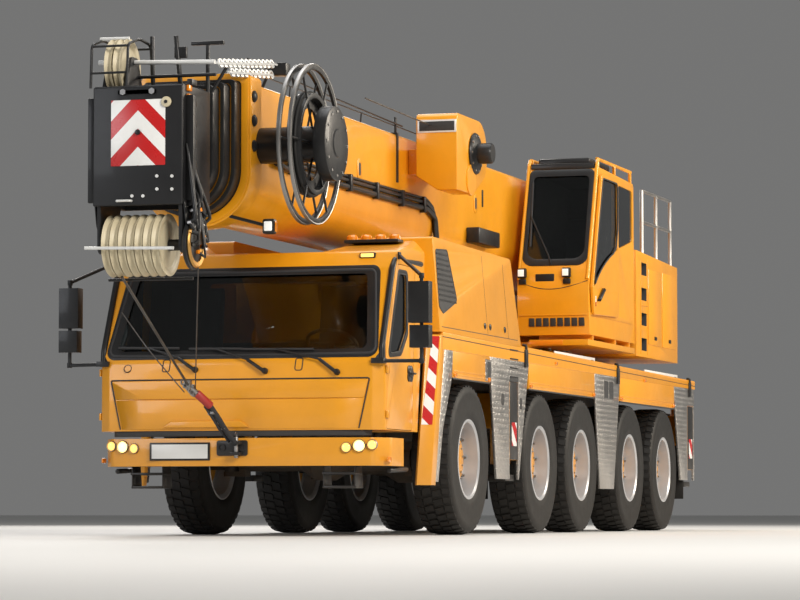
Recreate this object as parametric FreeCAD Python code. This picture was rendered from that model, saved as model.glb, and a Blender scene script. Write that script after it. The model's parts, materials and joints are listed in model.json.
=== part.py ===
import FreeCAD, Part
import math
import os

# Mobile crane on a five-axle carrier, parked on its wheels with the boom resting over the cab.
# Lengths in millimetres. While it is drawn, X runs forward from axle 1, Y to the left, Z up from
# the ground. save() then shifts it so that the origin is on the ground under the middle.

V = FreeCAD.Vector
LEFT, RIGHT = 1, -1
SIDES = (("left", LEFT), ("right", RIGHT))

# Overall reach, ahead of and behind axle 1
SHEAVE_X = 4550.0
SHEAVE_R = 250.0
DECK_REAR_X = -9620.0
FRONT_END = SHEAVE_X + SHEAVE_R
AXLE1_X = -(FRONT_END + DECK_REAR_X) / 2
HALF_WIDTH = 1375.0
SEAT = 0.3
MOVE_GAP = 10.0

# Axles and wheels
AXLES = (0.0, -2530.0, -4180.0, -6330.0, -7980.0)
STEERED = (0, 1, 3, 4)
TYRE_R = 685.0
TYRE_WIDTH = 375.0
BEAD_R = 322.0
FLANGE_R = 360.0
RIM_WALL = 14.0
DISC_R = 285.0
DISC_DEPTH = 190.0
HUB_R = 220.0
HUB_DEPTH = 120.0
NECK_R = 90.0
SPINDLE_R = 55.0
SPINDLE_PLAY = 0.5
SPINDLE_LENGTH = 80.0
WHEEL_Y = HALF_WIDTH - TYRE_WIDTH / 2
KINGPIN_Y = 930.0
KINGPIN_R = 62.0
YOKE_HEIGHT = 150.0
YOKE_ARM = 45.0
BEAM_R = 105.0
DIFF_R = 190.0
STRUT_R = 55.0
STRUT_Y = 520.0

# Chassis
FRAME_HALF = 450.0
FRAME_BOTTOM = TYRE_R + DIFF_R + 15
FRAME_NOSE_X = 2050.0
FRAME_NOSE_TOP = 1130.0
FRAME_STEP_X = 900.0
FRAME_REAR_X = -9530.0
DECK_FRONT_X = 876.0
DECK_FRONT_TOP = 1796.0
DECK_REAR_TOP = 1724.0
DECK_BOTTOM = 1645.0
PANEL_THICK = 25.0
POST_FOOT = (1110.0, 440.0)
POST_HEAD = (800.0, 1770.0)
POST_FLAT = 140.0
POST_FOLD = 100.0

# Tow jaws
JAW_REACH = 85.0
JAW_HALF = 45.0
JAW_PLATE = 25.0
JAW_OPEN = 65.0
TOW_PIN_R = 20.0

# Outriggers
BOX_WALL = 20.0
BEAM_WIDTH = 300.0
BEAM_HEIGHT = 330.0
BEAM_BOTTOM = 1000.0
BEAM_GAP = 8.0
BEAM_LENGTH = 2330.0
OUTRIGGER_BOXES = (("front", -1356.0), ("rear", -9200.0))
JACK_R = 95.0
JACK_INSET = 20.0
BOX_END = HALF_WIDTH - PANEL_THICK - JACK_INSET - 2 * JACK_R - 30.0
JACK_ROD_R = 65.0
JACK_BOTTOM = 660.0
PAD_THICK = 60.0
END_PLATE_BOTTOM = 700.0
END_PLATE_TOP = 1440.0
JACK_TOP = END_PLATE_TOP - 10.0

# Carrier cab
CAB_HALF = 1290.0
CAB_WALL = 50.0
CAB_BOTTOM = 900.0
CAB_FLOOR = 1200.0
CAB_FRONT_X = 2400.0
CAB_TROUGH = 2450.0
CAB_ROOF = 2600.0
GLASS_THICK = 8.0

# Engine and its covers
ENGINE_HALF = 410.0
COVER_INNER = 560.0
COVER_ENDS = (970.0, -1770.0)
COVER_TOP = 2640.0
COVER_LEAN = 75.0
GRILLE_DEPTH = 20.0
GRILLE_PITCH = 60.0

# Slewing superstructure
SLEW_X = -5950.0
RING_R = 760.0
RING_TOP = 1792.0
TURN_BOTTOM = RING_TOP + SEAT
TURN_TOP = 1930.0
PLATE_INNER = 452.0
PLATE_THICK = 36.0
PIVOT_X = -8250.0
PIVOT_Z = 3450.0
PIVOT_R = 70.0
PIN_PLAY = 0.5

# Boom
BOOM_HALF = 420.0
BOOM_BOTTOM = 2620.0
BOOM_TOP = 3770.0
BOOM_REAR_X = -8650.0
COLLAR_FRONT_X = 3460.0
COLLAR_LENGTH = 260.0
BOOM_WALL = 14.0
SECTION_GAP = 26.0
SECTIONS = 5
SECTION_STEP = 150.0
HEAD_REAR_X = COLLAR_FRONT_X + (SECTIONS - 1) * SECTION_STEP + 60.0
HEAD_FRONT_X = 4730.0
HEAD_BOTTOM = 2640.0
HEAD_TOP = 3580.0
HEAD_HALF = 375.0
SHEAVE_Z = 2320.0
SHEAVE_PITCH = 70.7
SHEAVE_WIDTH = 62.0
SHEAVE_MIDDLE_Y = -47.0
JIB_PIN_R = 35.0

# Hose drum and reeving winch on the boom's left side
COLLAR_PROUD = 70.0
DRUM_X = 3190.0
DRUM_Z = 3240.0
DRUM_R = 660.0
DRUM_FLANGES = (848.0, 943.0)
DRUM_FLANGE_THICK = 24.0
DRUM_HUB_FACE = 1140.0
DRUM_SPOKES = 6
WINCH_ENDS = (-1000.0, -2050.0)
WINCH_SIDES = (557.0, 962.0)
WINCH_BOTTOM = 3244.0
WINCH_TOP = 3975.0
WINCH_HUB = (-1590.0, 3640.0)
WINCH_HUB_FACE = 1150.0

# Lift cylinder
RAM_FOOT = (-6330.0, 2180.0)
RAM_EYE = (-2670.0, 2430.0)
RAM_BARREL_R = 150.0
RAM_ROD_R = 105.0
RAM_EYE_R = 130.0
RAM_NECK = 240.0
RAM_BARREL_LENGTH = math.dist(RAM_FOOT, RAM_EYE) - RAM_EYE_R - RAM_NECK
RAM_EYE_HALF = 110.0
RAM_PIN_R = 60.0

# Crane cab
CRANE_CAB_INNER = 520.0
CRANE_CAB_OUTER = 1290.0
CRANE_CAB_WALL = 40.0
CRANE_DOOR_THICK = 34.0
CRANE_DOOR_FRONT = -4900.0
CRANE_DOOR_REAR = -5990.0
GUARD_Z = 3950.0
GUARD_R = 18.0


def save(node, *solids):
    """Write one node's solids, shifted to the part's own frame."""
    shape = solids[0] if len(solids) == 1 else Part.makeCompound(list(solids))
    shape = shape.copy()
    shape.translate(V(AXLE1_X, 0, 0))
    shape.exportStep("parts/" + node + ".step")


def box(x0, x1, y0, y1, z0, z1):
    """Block between two corners, given in any order."""
    low = V(min(x0, x1), min(y0, y1), min(z0, z1))
    return Part.makeBox(abs(x1 - x0), abs(y1 - y0), abs(z1 - z0), low)


def rod(start, end, radius):
    """Round bar from one point to another."""
    a, b = V(*start), V(*end)
    return Part.makeCylinder(radius, (b - a).Length, a, b - a)


def mirrored(shape):
    return shape.mirror(V(0, 0, 0), V(0, 1, 0))


def on_side(shape, side):
    """The shape as drawn for the left, or its mirror image for the right."""
    return shape if side == LEFT else mirrored(shape)


def corner_arc(before, corner, after, radius):
    """Start, middle and end of the arc that rounds one corner of an outline."""
    a = V(before[0] - corner[0], before[1] - corner[1], 0).normalize()
    b = V(after[0] - corner[0], after[1] - corner[1], 0).normalize()
    half = a.getAngle(b) / 2
    point = V(corner[0], corner[1], 0)
    reach = radius / math.tan(half)
    inward = (a + b).normalize()
    centre = point + inward * (radius / math.sin(half))
    return point + a * reach, centre - inward * radius, point + b * reach


def outline(corners, place):
    """Closed face through corners (u, v) or (u, v, radius); place(u, v) gives the 3-D point."""
    count = len(corners)
    spans = []
    for i, corner in enumerate(corners):
        radius = corner[2] if len(corner) > 2 else 0
        if radius:
            spans.append(corner_arc(corners[i - 1], corner, corners[(i + 1) % count], radius))
        else:
            spans.append((V(corner[0], corner[1], 0),))
    edges = []
    for i, span in enumerate(spans):
        points = [place(p.x, p.y) for p in span]
        if len(points) == 3:
            edges.append(Part.Arc(*points).toShape())
        start = span[-1]
        end = spans[(i + 1) % count][0]
        if (end - start).Length > 1e-6:
            edges.append(Part.LineSegment(place(start.x, start.y), place(end.x, end.y)).toShape())
    return Part.Face(Part.Wire(edges))


def side_prism(corners, y0, y1, inset=0):
    """Outline in X and Z, carried from y0 to y1."""
    face = outline(corners, lambda u, v: V(u, y0, v))
    if inset:
        face = face.makeOffset2D(-inset)
    return face.extrude(V(0, y1 - y0, 0))


def front_prism(corners, x0, x1, inset=0):
    """Outline in Y and Z, carried from x0 to x1."""
    face = outline(corners, lambda u, v: V(x0, u, v))
    if inset:
        face = face.makeOffset2D(-inset)
    return face.extrude(V(x1 - x0, 0, 0))


def plan_prism(corners, z0, z1, inset=0):
    """Outline in X and Y, carried from z0 to z1."""
    face = outline(corners, lambda u, v: V(u, v, z0))
    if inset:
        face = face.makeOffset2D(-inset)
    return face.extrude(V(0, 0, z1 - z0))


def turned_y(profile, x, z):
    """Outline of (radius, y) corners turned about the line along Y at x, z."""
    face = outline([(r, y) + tuple(rest) for r, y, *rest in profile], lambda u, v: V(x + u, v, z))
    return face.revolve(V(x, 0, z), V(0, 1, 0), 360)


def fuse(*shapes):
    """The shapes joined to one solid."""
    joined = shapes[0].fuse(list(shapes[1:])) if len(shapes) > 1 else shapes[0]
    return joined.removeSplitter()


def cut(shape, *tools):
    return shape.cut(list(tools))


# Wheels and steering

def tyre(x):
    """Tyre body of the left side, its outer face at the vehicle's full width."""
    y0, y1 = WHEEL_Y - TYRE_WIDTH / 2, WHEEL_Y + TYRE_WIDTH / 2
    bead = RIM_WALL + SEAT + 20
    # Profile as (radius, y): bead, sidewall bulge, shoulder, tread, and back
    profile = [(BEAD_R + SEAT, y0 + bead), (FLANGE_R + 40, y0 + 12), (TYRE_R - 150, y0),
               (TYRE_R - 30, y0 + 14), (TYRE_R, y0 + 50), (TYRE_R, y1 - 50), (TYRE_R - 30, y1 - 14),
               (TYRE_R - 150, y1), (FLANGE_R + 40, y1 - 12), (BEAD_R + SEAT, y1 - bead)]
    return turned_y(profile, x, TYRE_R)


def rim(x):
    """Deep-dish disc wheel with its planetary hub, bored for the spindle."""
    y0, y1 = WHEEL_Y - TYRE_WIDTH / 2, WHEEL_Y + TYRE_WIDTH / 2
    lip = 18
    inner = BEAD_R - RIM_WALL
    disc = y1 - DISC_DEPTH
    back = disc - 40
    face = y1 - HUB_DEPTH
    bore = SPINDLE_R + SPINDLE_PLAY
    bore_end = back + SPINDLE_LENGTH
    profile = [(FLANGE_R, y0 + lip - 4), (FLANGE_R, y0 + lip + RIM_WALL - 4), (BEAD_R, y0 + lip + 14),
               (BEAD_R, y1 - lip - 14), (FLANGE_R, y1 - lip - RIM_WALL + 4), (FLANGE_R, y1 - lip + 4),
               (inner, y1 - lip + 4), (inner, disc + 30), (DISC_R, disc + 12), (HUB_R, disc + 12),
               (HUB_R, face - 25), (HUB_R - 35, face), (0, face), (0, bore_end), (bore, bore_end),
               (bore, back), (HUB_R, back), (HUB_R + 20, disc - 12), (inner, disc - 12),
               (inner, y0 + lip - 4)]
    return turned_y(profile, x, TYRE_R)


def spindle(x, y_start):
    """Stub axle from y_start into the wheel's hub."""
    hub_face = WHEEL_Y + TYRE_WIDTH / 2 - DISC_DEPTH - 40
    neck = rod((x, y_start, TYRE_R), (x, hub_face - MOVE_GAP / 2, TYRE_R), NECK_R)
    tip = rod((x, y_start, TYRE_R), (x, hub_face + SPINDLE_LENGTH - MOVE_GAP, TYRE_R), SPINDLE_R)
    return fuse(neck, tip)


def knuckle(x):
    """Steering knuckle between the yoke's arms, with its stub axle and steering arm."""
    reach = YOKE_HEIGHT - YOKE_ARM - SEAT
    post = rod((x, KINGPIN_Y, TYRE_R - reach), (x, KINGPIN_Y, TYRE_R + reach), KINGPIN_R)
    arm = box(x - 230, x, KINGPIN_Y - 25, KINGPIN_Y + 25, TYRE_R - 60, TYRE_R - 20)
    return fuse(post, spindle(x, KINGPIN_Y), arm)


def axle_beam(x, steered):
    """Axle housing with its differential, suspension struts and end yokes or fixed stubs."""
    z = TYRE_R
    end = KINGPIN_Y - KINGPIN_R - 40
    parts = [rod((x, -end, z), (x, end, z), BEAM_R),
             turned_y([(0, -230), (BEAM_R, -230), (DIFF_R, -90), (DIFF_R, 90), (BEAM_R, 230), (0, 230)],
                      x, z)]
    for side in (LEFT, RIGHT):
        strut = rod((x, side * STRUT_Y, z + 40), (x, side * STRUT_Y, FRAME_BOTTOM + 330), STRUT_R)
        bracket = box(x - 70, x + 70, side * (FRAME_HALF + SEAT), side * (STRUT_Y + 20),
                      FRAME_BOTTOM + 150, FRAME_BOTTOM + 330)
        parts += [strut, bracket]
        if steered:
            for up in (-1, 1):
                arm = plan_prism([(x - KINGPIN_R, end - 60), (x + KINGPIN_R, end - 60),
                                  (x + KINGPIN_R, KINGPIN_Y + KINGPIN_R, 40),
                                  (x - KINGPIN_R, KINGPIN_Y + KINGPIN_R, 40)],
                                 z + up * YOKE_HEIGHT, z + up * (YOKE_HEIGHT - YOKE_ARM))
                parts.append(on_side(arm, side))
            riser = box(x - KINGPIN_R, x + KINGPIN_R, side * (end - 60), side * end,
                        z - YOKE_HEIGHT, z + YOKE_HEIGHT)
            parts.append(riser)
        else:
            parts.append(on_side(spindle(x, end - 10), side))
    return fuse(*parts)


def build_wheels():
    beams = [axle_beam(x, i in STEERED) for i, x in enumerate(AXLES)]
    save("axle_beams", *beams)
    for i, x in enumerate(AXLES):
        for name, side in SIDES:
            label = "%d_%s" % (i + 1, name)
            save("wheel_" + label, on_side(tyre(x), side), on_side(rim(x), side))
            if i in STEERED:
                save("knuckle_" + label, on_side(knuckle(x), side))


# Chassis, deck and panels

def deck_top(x):
    """Height of the deck's upper face at x."""
    share = (DECK_FRONT_X - x) / (DECK_FRONT_X - DECK_REAR_X)
    return DECK_FRONT_TOP + share * (DECK_REAR_TOP - DECK_FRONT_TOP)


def outrigger_slot(x):
    """Full-width rectangular hole for the pair of beams of one outrigger box."""
    half = BEAM_WIDTH + BEAM_GAP * 1.5
    return box(x - half, x + half, -HALF_WIDTH, HALF_WIDTH,
               BEAM_BOTTOM - SEAT, BEAM_BOTTOM + BEAM_HEIGHT + BEAM_GAP)


def chassis_frame():
    """Box frame, its lowered nose, and the outrigger boxes welded to its sides."""
    top = DECK_BOTTOM
    step = FRAME_STEP_X + 200
    nose = side_prism([(FRAME_NOSE_X, FRAME_BOTTOM + 60), (FRAME_NOSE_X, FRAME_NOSE_TOP, 40),
                       (step, FRAME_NOSE_TOP), (step, FRAME_BOTTOM), (FRAME_NOSE_X - 300, FRAME_BOTTOM)],
                      -FRAME_HALF, FRAME_HALF)
    rear = side_prism([(step, FRAME_BOTTOM), (step, FRAME_NOSE_TOP), (FRAME_STEP_X - 40, top),
                       (FRAME_REAR_X, top), (FRAME_REAR_X, FRAME_BOTTOM + 120),
                       (FRAME_REAR_X + 300, FRAME_BOTTOM)], -FRAME_HALF, FRAME_HALF)
    tower = Part.makeCylinder(RING_R, RING_TOP - DECK_BOTTOM + 40, V(SLEW_X, 0, DECK_BOTTOM - 40))
    hitch = box(FRAME_REAR_X, FRAME_REAR_X + 60, -180, 180, 700, FRAME_BOTTOM + 200)
    slots = [outrigger_slot(x) for _, x in OUTRIGGER_BOXES]
    solids = [nose, cut(fuse(rear, tower, hitch, tow_jaw(FRAME_REAR_X, -1, 750)), *slots)]
    for _, x in OUTRIGGER_BOXES:
        half = BEAM_WIDTH + BEAM_GAP * 1.5 + BOX_WALL
        for _, side in SIDES:
            casing = box(x - half, x + half, side * FRAME_HALF, side * BOX_END,
                         BEAM_BOTTOM - BEAM_GAP - BOX_WALL, BEAM_BOTTOM + BEAM_HEIGHT + BEAM_GAP + BOX_WALL)
            solids.append(cut(casing, *slots))
    return solids


def tow_jaw(x, forward, z):
    """Jaw of two plates with a vertical pin hole, reaching from x in the given direction."""
    tip = x + forward * JAW_REACH
    plates = [box(x - forward * 2, tip, -JAW_HALF, JAW_HALF, z0, z0 + JAW_PLATE)
              for z0 in (z, z + JAW_OPEN + JAW_PLATE)]
    hole = rod((tip - forward * JAW_HALF, 0, z - 10), (tip - forward * JAW_HALF, 0, z + 300), TOW_PIN_R)
    return cut(plates[0].fuse(plates[1]), hole)


def deck():
    """Walk-on deck with a hole for the slewing ring."""
    side = [(DECK_FRONT_X, DECK_BOTTOM), (DECK_FRONT_X, DECK_FRONT_TOP), (DECK_REAR_X, DECK_REAR_TOP),
            (DECK_REAR_X, DECK_BOTTOM)]
    plate = side_prism(side, -HALF_WIDTH, HALF_WIDTH)
    return cut(plate, Part.makeCylinder(RING_R + SEAT, 400, V(SLEW_X, 0, DECK_BOTTOM - 100)))


def beam_x(box_x, side):
    """Centre of a beam in its box: the left beam lies behind the right one."""
    return box_x - side * (BEAM_WIDTH + BEAM_GAP) / 2


def post_edge(z):
    """Rear edge of the folded post at a height, where the chequer panel ends."""
    share = (z - POST_FOOT[1]) / (POST_HEAD[1] - POST_FOOT[1])
    return POST_FOOT[0] + share * (POST_HEAD[0] - POST_FOOT[0]) - SEAT


def folded_post():
    """Left leaning post behind the cab, folded inward along its front."""
    x, z = POST_FOOT
    y, t = HALF_WIDTH, PANEL_THICK
    corner, end = x + POST_FLAT, x + POST_FLAT + POST_FOLD
    fold = ((x, y), (corner, y), (end, y - POST_FOLD), (end - t, y - POST_FOLD - t),
            (corner - t * 0.4, y - t), (x, y - t))
    face = outline(fold, lambda u, v: V(u, v, z))
    post = face.extrude(V(POST_HEAD[0] - x, 0, POST_HEAD[1] - z))
    return cut(post, box(DECK_REAR_X, DECK_FRONT_X + SEAT, 0, y + 1, DECK_BOTTOM - SEAT, DECK_FRONT_TOP))


def build_chassis():
    save("chassis_frame", *chassis_frame())
    save("deck", deck())
    inner = HALF_WIDTH - PANEL_THICK
    top = DECK_BOTTOM - SEAT
    # Chequer panels: front top, rear top, rear bottom, front bottom as (x, z)
    panels = (((-666, top), (-2065, top), (-1686, 515), (-901, 515)),
              ((-4700, top), (-5835, top), (-5543, 450), (-4935, 450)),
              ((-8487, top), (-9560, top), (-9560, 576), (-8835, 576)),
              ((post_edge(top), top), (560, top), (590, 1400), (880, 930), (1020, 470),
               (post_edge(470), 470)))
    plates = []
    for panel in panels:
        plate = side_prism(panel, inner, HALF_WIDTH)
        for name, side in SIDES:
            windows = [box(beam_x(x, side) - BEAM_WIDTH / 2 - MOVE_GAP,
                           beam_x(x, side) + BEAM_WIDTH / 2 + MOVE_GAP,
                           side * (inner - 1), side * (HALF_WIDTH + 1),
                           0, END_PLATE_TOP + MOVE_GAP)
                       for _, x in OUTRIGGER_BOXES]
            plates.append(cut(on_side(plate, side), *windows))
    save("chequer_panels", *plates)
    # Fender bands above the wheels, as (front x, rear x, room over the tyre)
    bands = ((560, -666, 30), (-2065, -4700, 22), (-5835, -8487, 18))
    strips = []
    for front, rear, room in bands:
        for _, side in SIDES:
            strips.append(box(front - SEAT, rear + SEAT, side * inner, side * HALF_WIDTH,
                              2 * TYRE_R + room, top))
    strips += [on_side(folded_post(), side) for _, side in SIDES]
    save("fender_bands", *strips)


def outrigger_beam(x):
    """Left sliding beam with its end plate and jack tube."""
    tip = HALF_WIDTH - PANEL_THICK
    half = BEAM_WIDTH / 2
    tail = tip - BEAM_LENGTH
    jack_y = tip - JACK_R - JACK_INSET
    bar = box(x - half, x + half, tail, tip, BEAM_BOTTOM, BEAM_BOTTOM + BEAM_HEIGHT)
    plate = box(x - half, x + half, tip, HALF_WIDTH, END_PLATE_BOTTOM, END_PLATE_TOP)
    tube = rod((x, jack_y, JACK_BOTTOM), (x, jack_y, JACK_TOP), JACK_R)
    link = box(x - half, x + half, jack_y, tip, END_PLATE_BOTTOM, END_PLATE_TOP)
    body = fuse(bar, plate, link, tube)
    return cut(body, rod((x, jack_y, JACK_BOTTOM - 1), (x, jack_y, JACK_TOP - 40), JACK_ROD_R + SEAT))


def outrigger_jack(x):
    """Left jack rod with its float pad."""
    jack_y = HALF_WIDTH - PANEL_THICK - JACK_R - JACK_INSET
    stem = rod((x, jack_y, JACK_BOTTOM - 150), (x, jack_y, JACK_TOP - 60), JACK_ROD_R)
    half = BEAM_WIDTH / 2
    top = JACK_BOTTOM - 100
    pad = box(x - half, x + half, jack_y - half, jack_y + JACK_R, top - PAD_THICK, top)
    return fuse(stem, pad)


def build_outriggers():
    for place, x in OUTRIGGER_BOXES:
        for name, side in SIDES:
            at = beam_x(x, side)
            save("outrigger_beam_%s_%s" % (place, name), on_side(outrigger_beam(at), side))
            save("outrigger_jack_%s_%s" % (place, name), on_side(outrigger_jack(at), side))


# Carrier cab

CAB_SIDE = ((CAB_FRONT_X, CAB_BOTTOM), (CAB_FRONT_X, 1400), (2350, 1530), (2000, 2300), (1900, 2450, 60),
            (1140, CAB_ROOF, 60), (1378, CAB_BOTTOM))
CAB_PLAN = ((1000, CAB_HALF), (2310, CAB_HALF, 40), (2375, CAB_HALF - 100, 60), (CAB_FRONT_X, 850),
            (CAB_FRONT_X, -850), (2375, 100 - CAB_HALF, 60), (2310, -CAB_HALF, 40), (1000, -CAB_HALF))
CAB_FACE = ((CAB_HALF, CAB_BOTTOM), (CAB_HALF, 2480, 60), (CAB_HALF - 100, CAB_ROOF, 60), (760, CAB_ROOF, 60),
            (600, CAB_TROUGH, 60), (-600, CAB_TROUGH, 60), (-760, CAB_ROOF, 60),
            (100 - CAB_HALF, CAB_ROOF, 60),
            (-CAB_HALF, 2480, 60), (-CAB_HALF, CAB_BOTTOM))
SCREEN_FOOT = CAB_HALF - 75
SCREEN_HEAD = CAB_HALF - 180
WINDSCREEN = ((SCREEN_FOOT, 1545, 60), (SCREEN_HEAD, 2280, 60), (-SCREEN_HEAD, 2280, 60),
              (-SCREEN_FOOT, 1545, 60))
DOOR = ((2290, 905, 40), (2290, 1540, 40), (1960, 2330, 60), (1440, 2330, 60), (1520, 905, 40))
DOOR_WINDOW = ((2215, 1545, 40), (1925, 2250, 50), (1700, 2250, 60), (1700, 1760, 80), (1880, 1580, 120))
HINGE_R = 11.7
HINGE_HEIGHT = 60.0
DOOR_HINGE_HEIGHTS = (1000.0, 1380.0)
DOOR_HINGE = (2296.0, CAB_HALF + HINGE_R + SEAT)


def cab_body(inset):
    """Cab's outer form, or the same form drawn in by inset."""
    side = side_prism(CAB_SIDE, -CAB_HALF + inset, CAB_HALF - inset, inset)
    plan = plan_prism(CAB_PLAN, CAB_BOTTOM - 1, CAB_ROOF + 1, inset)
    face = front_prism(CAB_FACE, 900, CAB_FRONT_X + 1, inset)
    return side.common(plan).common(face)


def cab_layer(depth):
    """Glass layer that lies depth below the cab's outer faces."""
    return cut(cab_body(depth), cab_body(depth + GLASS_THICK))


def door_cutter(side, inset, corners=DOOR):
    tool = side_prism(corners, CAB_HALF - CAB_WALL - 60, CAB_HALF + 40, inset)
    return on_side(tool, side)


def build_cab():
    cavity = cab_body(CAB_WALL).common(box(900, 2500, -CAB_HALF, CAB_HALF, CAB_FLOOR, CAB_ROOF))
    shell = cut(cab_body(0), cavity)
    tunnel = box(900, 2100, -FRAME_HALF - 6, FRAME_HALF + 6, CAB_BOTTOM - 1, FRAME_NOSE_TOP + SEAT)
    screen = front_prism(WINDSCREEN, 1900, CAB_FRONT_X + 10)
    sill = [box(1300, 2320, s * (CAB_HALF - CAB_WALL), s * (CAB_HALF + 1), CAB_BOTTOM - 1, CAB_FLOOR + 10)
            .common(door_cutter(s, 0)) for s in (LEFT, RIGHT)]
    slab = {s: door_cutter(s, 0).common(cab_body(0)) for s in (LEFT, RIGHT)}
    opening = {s: slab[s].common(on_side(box(1000, 2400, CAB_HALF - CAB_WALL, CAB_HALF + 1,
                                             CAB_BOTTOM - 1, CAB_ROOF), s)) for s in (LEFT, RIGHT)}
    back = front_prism(((700, 1700, 60), (700, 2250, 60), (-700, 2250, 60), (-700, 1700, 60)), 1000, 1500)
    body = cut(shell, tunnel, screen, back, opening[LEFT], opening[RIGHT], *sill)
    save("carrier_cab", body)
    panes = [cab_layer(14).common(front_prism(WINDSCREEN, 1900, CAB_FRONT_X + 10, SEAT)),
             cab_layer(14).common(front_prism(((700, 1700, 60), (700, 2250, 60), (-700, 2250, 60),
                                               (-700, 1700, 60)), 1000, 1500, SEAT))]
    save("carrier_cab_glass", *[solid for pane in panes for solid in pane.Solids])
    for name, side in SIDES:
        skin = on_side(box(1000, 2400, CAB_HALF - CAB_WALL, CAB_HALF + 1, CAB_BOTTOM, CAB_ROOF), side)
        leaf = door_cutter(side, 6).common(cab_body(0)).common(skin)
        leaf = cut(leaf, door_cutter(side, 0, DOOR_WINDOW))
        pane = cab_layer(14).common(door_cutter(side, SEAT, DOOR_WINDOW))
        hinges = [on_side(door_hinge(z), side) for z in DOOR_HINGE_HEIGHTS]
        save("cab_door_" + name, fuse(leaf, *hinges), *pane.Solids)


def door_hinge(z):
    """Left hinge barrel on the door's pivot line, with the strap that carries it."""
    x, y = DOOR_HINGE
    barrel = rod((x, y, z), (x, y, z + HINGE_HEIGHT), HINGE_R)
    strap = box(x - 70, x, CAB_HALF + SEAT, y, z, z + HINGE_HEIGHT)
    foot = box(x - 70, x - 20, CAB_HALF - 1, y, z, z + HINGE_HEIGHT)
    return fuse(barrel, strap, foot)


def steering_hoop(centre, normal, radius, thick):
    """Steering wheel rim of octagonal section about its normal."""
    across = V(0, 1, 0)
    normal = V(normal).normalize()
    corners = [centre + across * (radius + thick * math.cos(math.radians(a)))
               + normal * (thick * math.sin(math.radians(a))) for a in range(0, 361, 45)]
    return Part.Face(Part.makePolygon(corners)).revolve(centre, normal, 360)


def build_cab_interior():
    """Two seats, dashboard and steering wheel, standing on the cab floor."""
    pieces = []
    for _, side in SIDES:
        y = side * 700
        seat = fuse(box(1500, 1980, y - 240, y + 240, CAB_FLOOR + 300, CAB_FLOOR + 420),
                    side_prism(((1500, CAB_FLOOR + 400), (1640, CAB_FLOOR + 400), (1540, 2180, 40),
                                (1430, 2180, 40)), y - 230, y + 230),
                    box(1560, 1900, y - 150, y + 150, CAB_FLOOR + SEAT, CAB_FLOOR + 310))
        pieces.append(seat)
    reach = CAB_HALF - CAB_WALL - 120
    dash = side_prism(((2290, CAB_FLOOR + SEAT), (2290, 1480, 30), (2060, 1560, 40), (2000, 1440, 30),
                       (2140, CAB_FLOOR + SEAT)), -reach, reach)
    column = rod((2080, 700, 1440), (1960, 700, 1640), 30)
    hoop = steering_hoop(V(1955, 700, 1650), V(-0.5, 0, 0.86), 215, 18)
    spoke = rod((1955, 490, 1650), (1955, 910, 1650), 16)
    pieces += [dash, cut(fuse(column, hoop, spoke), dash)]
    save("cab_interior", *pieces)


def build_bumper():
    """Front bumper, hood panel, lamps, tow jaw and steps."""
    half = CAB_HALF + 5
    inner = half - 105
    bumper_plan = ((1800, half), (2150, half, 120), (2330, inner, 80), (2400, 700), (2400, -700),
                   (2330, -inner, 80), (2150, -half, 120), (1800, -half), (1800, -inner), (2100, -inner),
                   (2250, -700), (2250, 700), (2100, inner), (1800, inner))
    bar = plan_prism(bumper_plan, 597, 836)
    brackets = [box(FRAME_NOSE_X - 380, 2260, s * 330, s * 440, 640, FRAME_BOTTOM - SEAT)
                for s in (LEFT, RIGHT)]
    jaw = tow_jaw(CAB_FRONT_X, 1, 690)
    save("front_bumper", fuse(bar, jaw, *brackets))


def engine_cover():
    """Left cover, its side leaning inward, with a slatted grille near the front."""
    front, rear = COVER_ENDS
    side = side_prism(((front, deck_top(front) + SEAT), (front, COVER_TOP, 30),
                       (rear + 120, COVER_TOP - 20, 60), (rear, deck_top(rear) + SEAT)),
                      COVER_INNER, HALF_WIDTH)
    lean = front_prism(((COVER_INNER, DECK_BOTTOM), (HALF_WIDTH, DECK_BOTTOM),
                        (HALF_WIDTH, DECK_FRONT_TOP), (HALF_WIDTH - COVER_LEAN, COVER_TOP + 1),
                        (COVER_INNER, COVER_TOP + 1)), rear - 1, front + 1)
    body = side.common(lean)
    sunk = body.translated(V(0, -GRILLE_DEPTH, 0))
    grille = side_prism(((930, 2020, 40), (900, 2530, 40), (530, 2550, 40), (340, 2100, 40), (820, 1965, 40)),
                        HALF_WIDTH - COVER_LEAN - 2 * GRILLE_DEPTH, HALF_WIDTH)
    count = int(600 / GRILLE_PITCH)
    slats = [box(300, 1000, COVER_INNER, HALF_WIDTH, z, z + GRILLE_PITCH / 2)
             for z in (1960 + GRILLE_PITCH * k for k in range(count))]
    return cut(body, cut(grille, sunk, *slats))


def build_engine():
    """Engine mass between the covers, and the covers behind the cab."""
    block = side_prism(((500, deck_top(500) + SEAT), (500, 2400, 80), (-1300, 2400, 80),
                        (-1300, deck_top(-1300) + SEAT)), -ENGINE_HALF, ENGINE_HALF)
    save("engine_block", block)
    covers = []
    for _, s in SIDES:
        covers.append(on_side(engine_cover(), s))
    save("engine_covers", *covers)


# Boom

def boom_section(index):
    """Half width, bottom and top of a boom section, 0 for the base."""
    step = index * (BOOM_WALL + SECTION_GAP)
    return BOOM_HALF - step, BOOM_BOTTOM + step, BOOM_TOP - step


def boom_outline(index, inset=0):
    """Flat top and sides with a deep rounded belly."""
    half, bottom, top = boom_section(index)
    half, bottom, top = half - inset, bottom + inset, top - inset
    round_r = half * 0.93
    return ((half, top, 40 - inset * 0.5), (half, bottom, round_r), (-half, bottom, round_r),
            (-half, top, 40 - inset * 0.5))


def boom_tube(index, x0, x1):
    return cut(front_prism(boom_outline(index), x0, x1), front_prism(boom_outline(index, BOOM_WALL), x0, x1))


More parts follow.
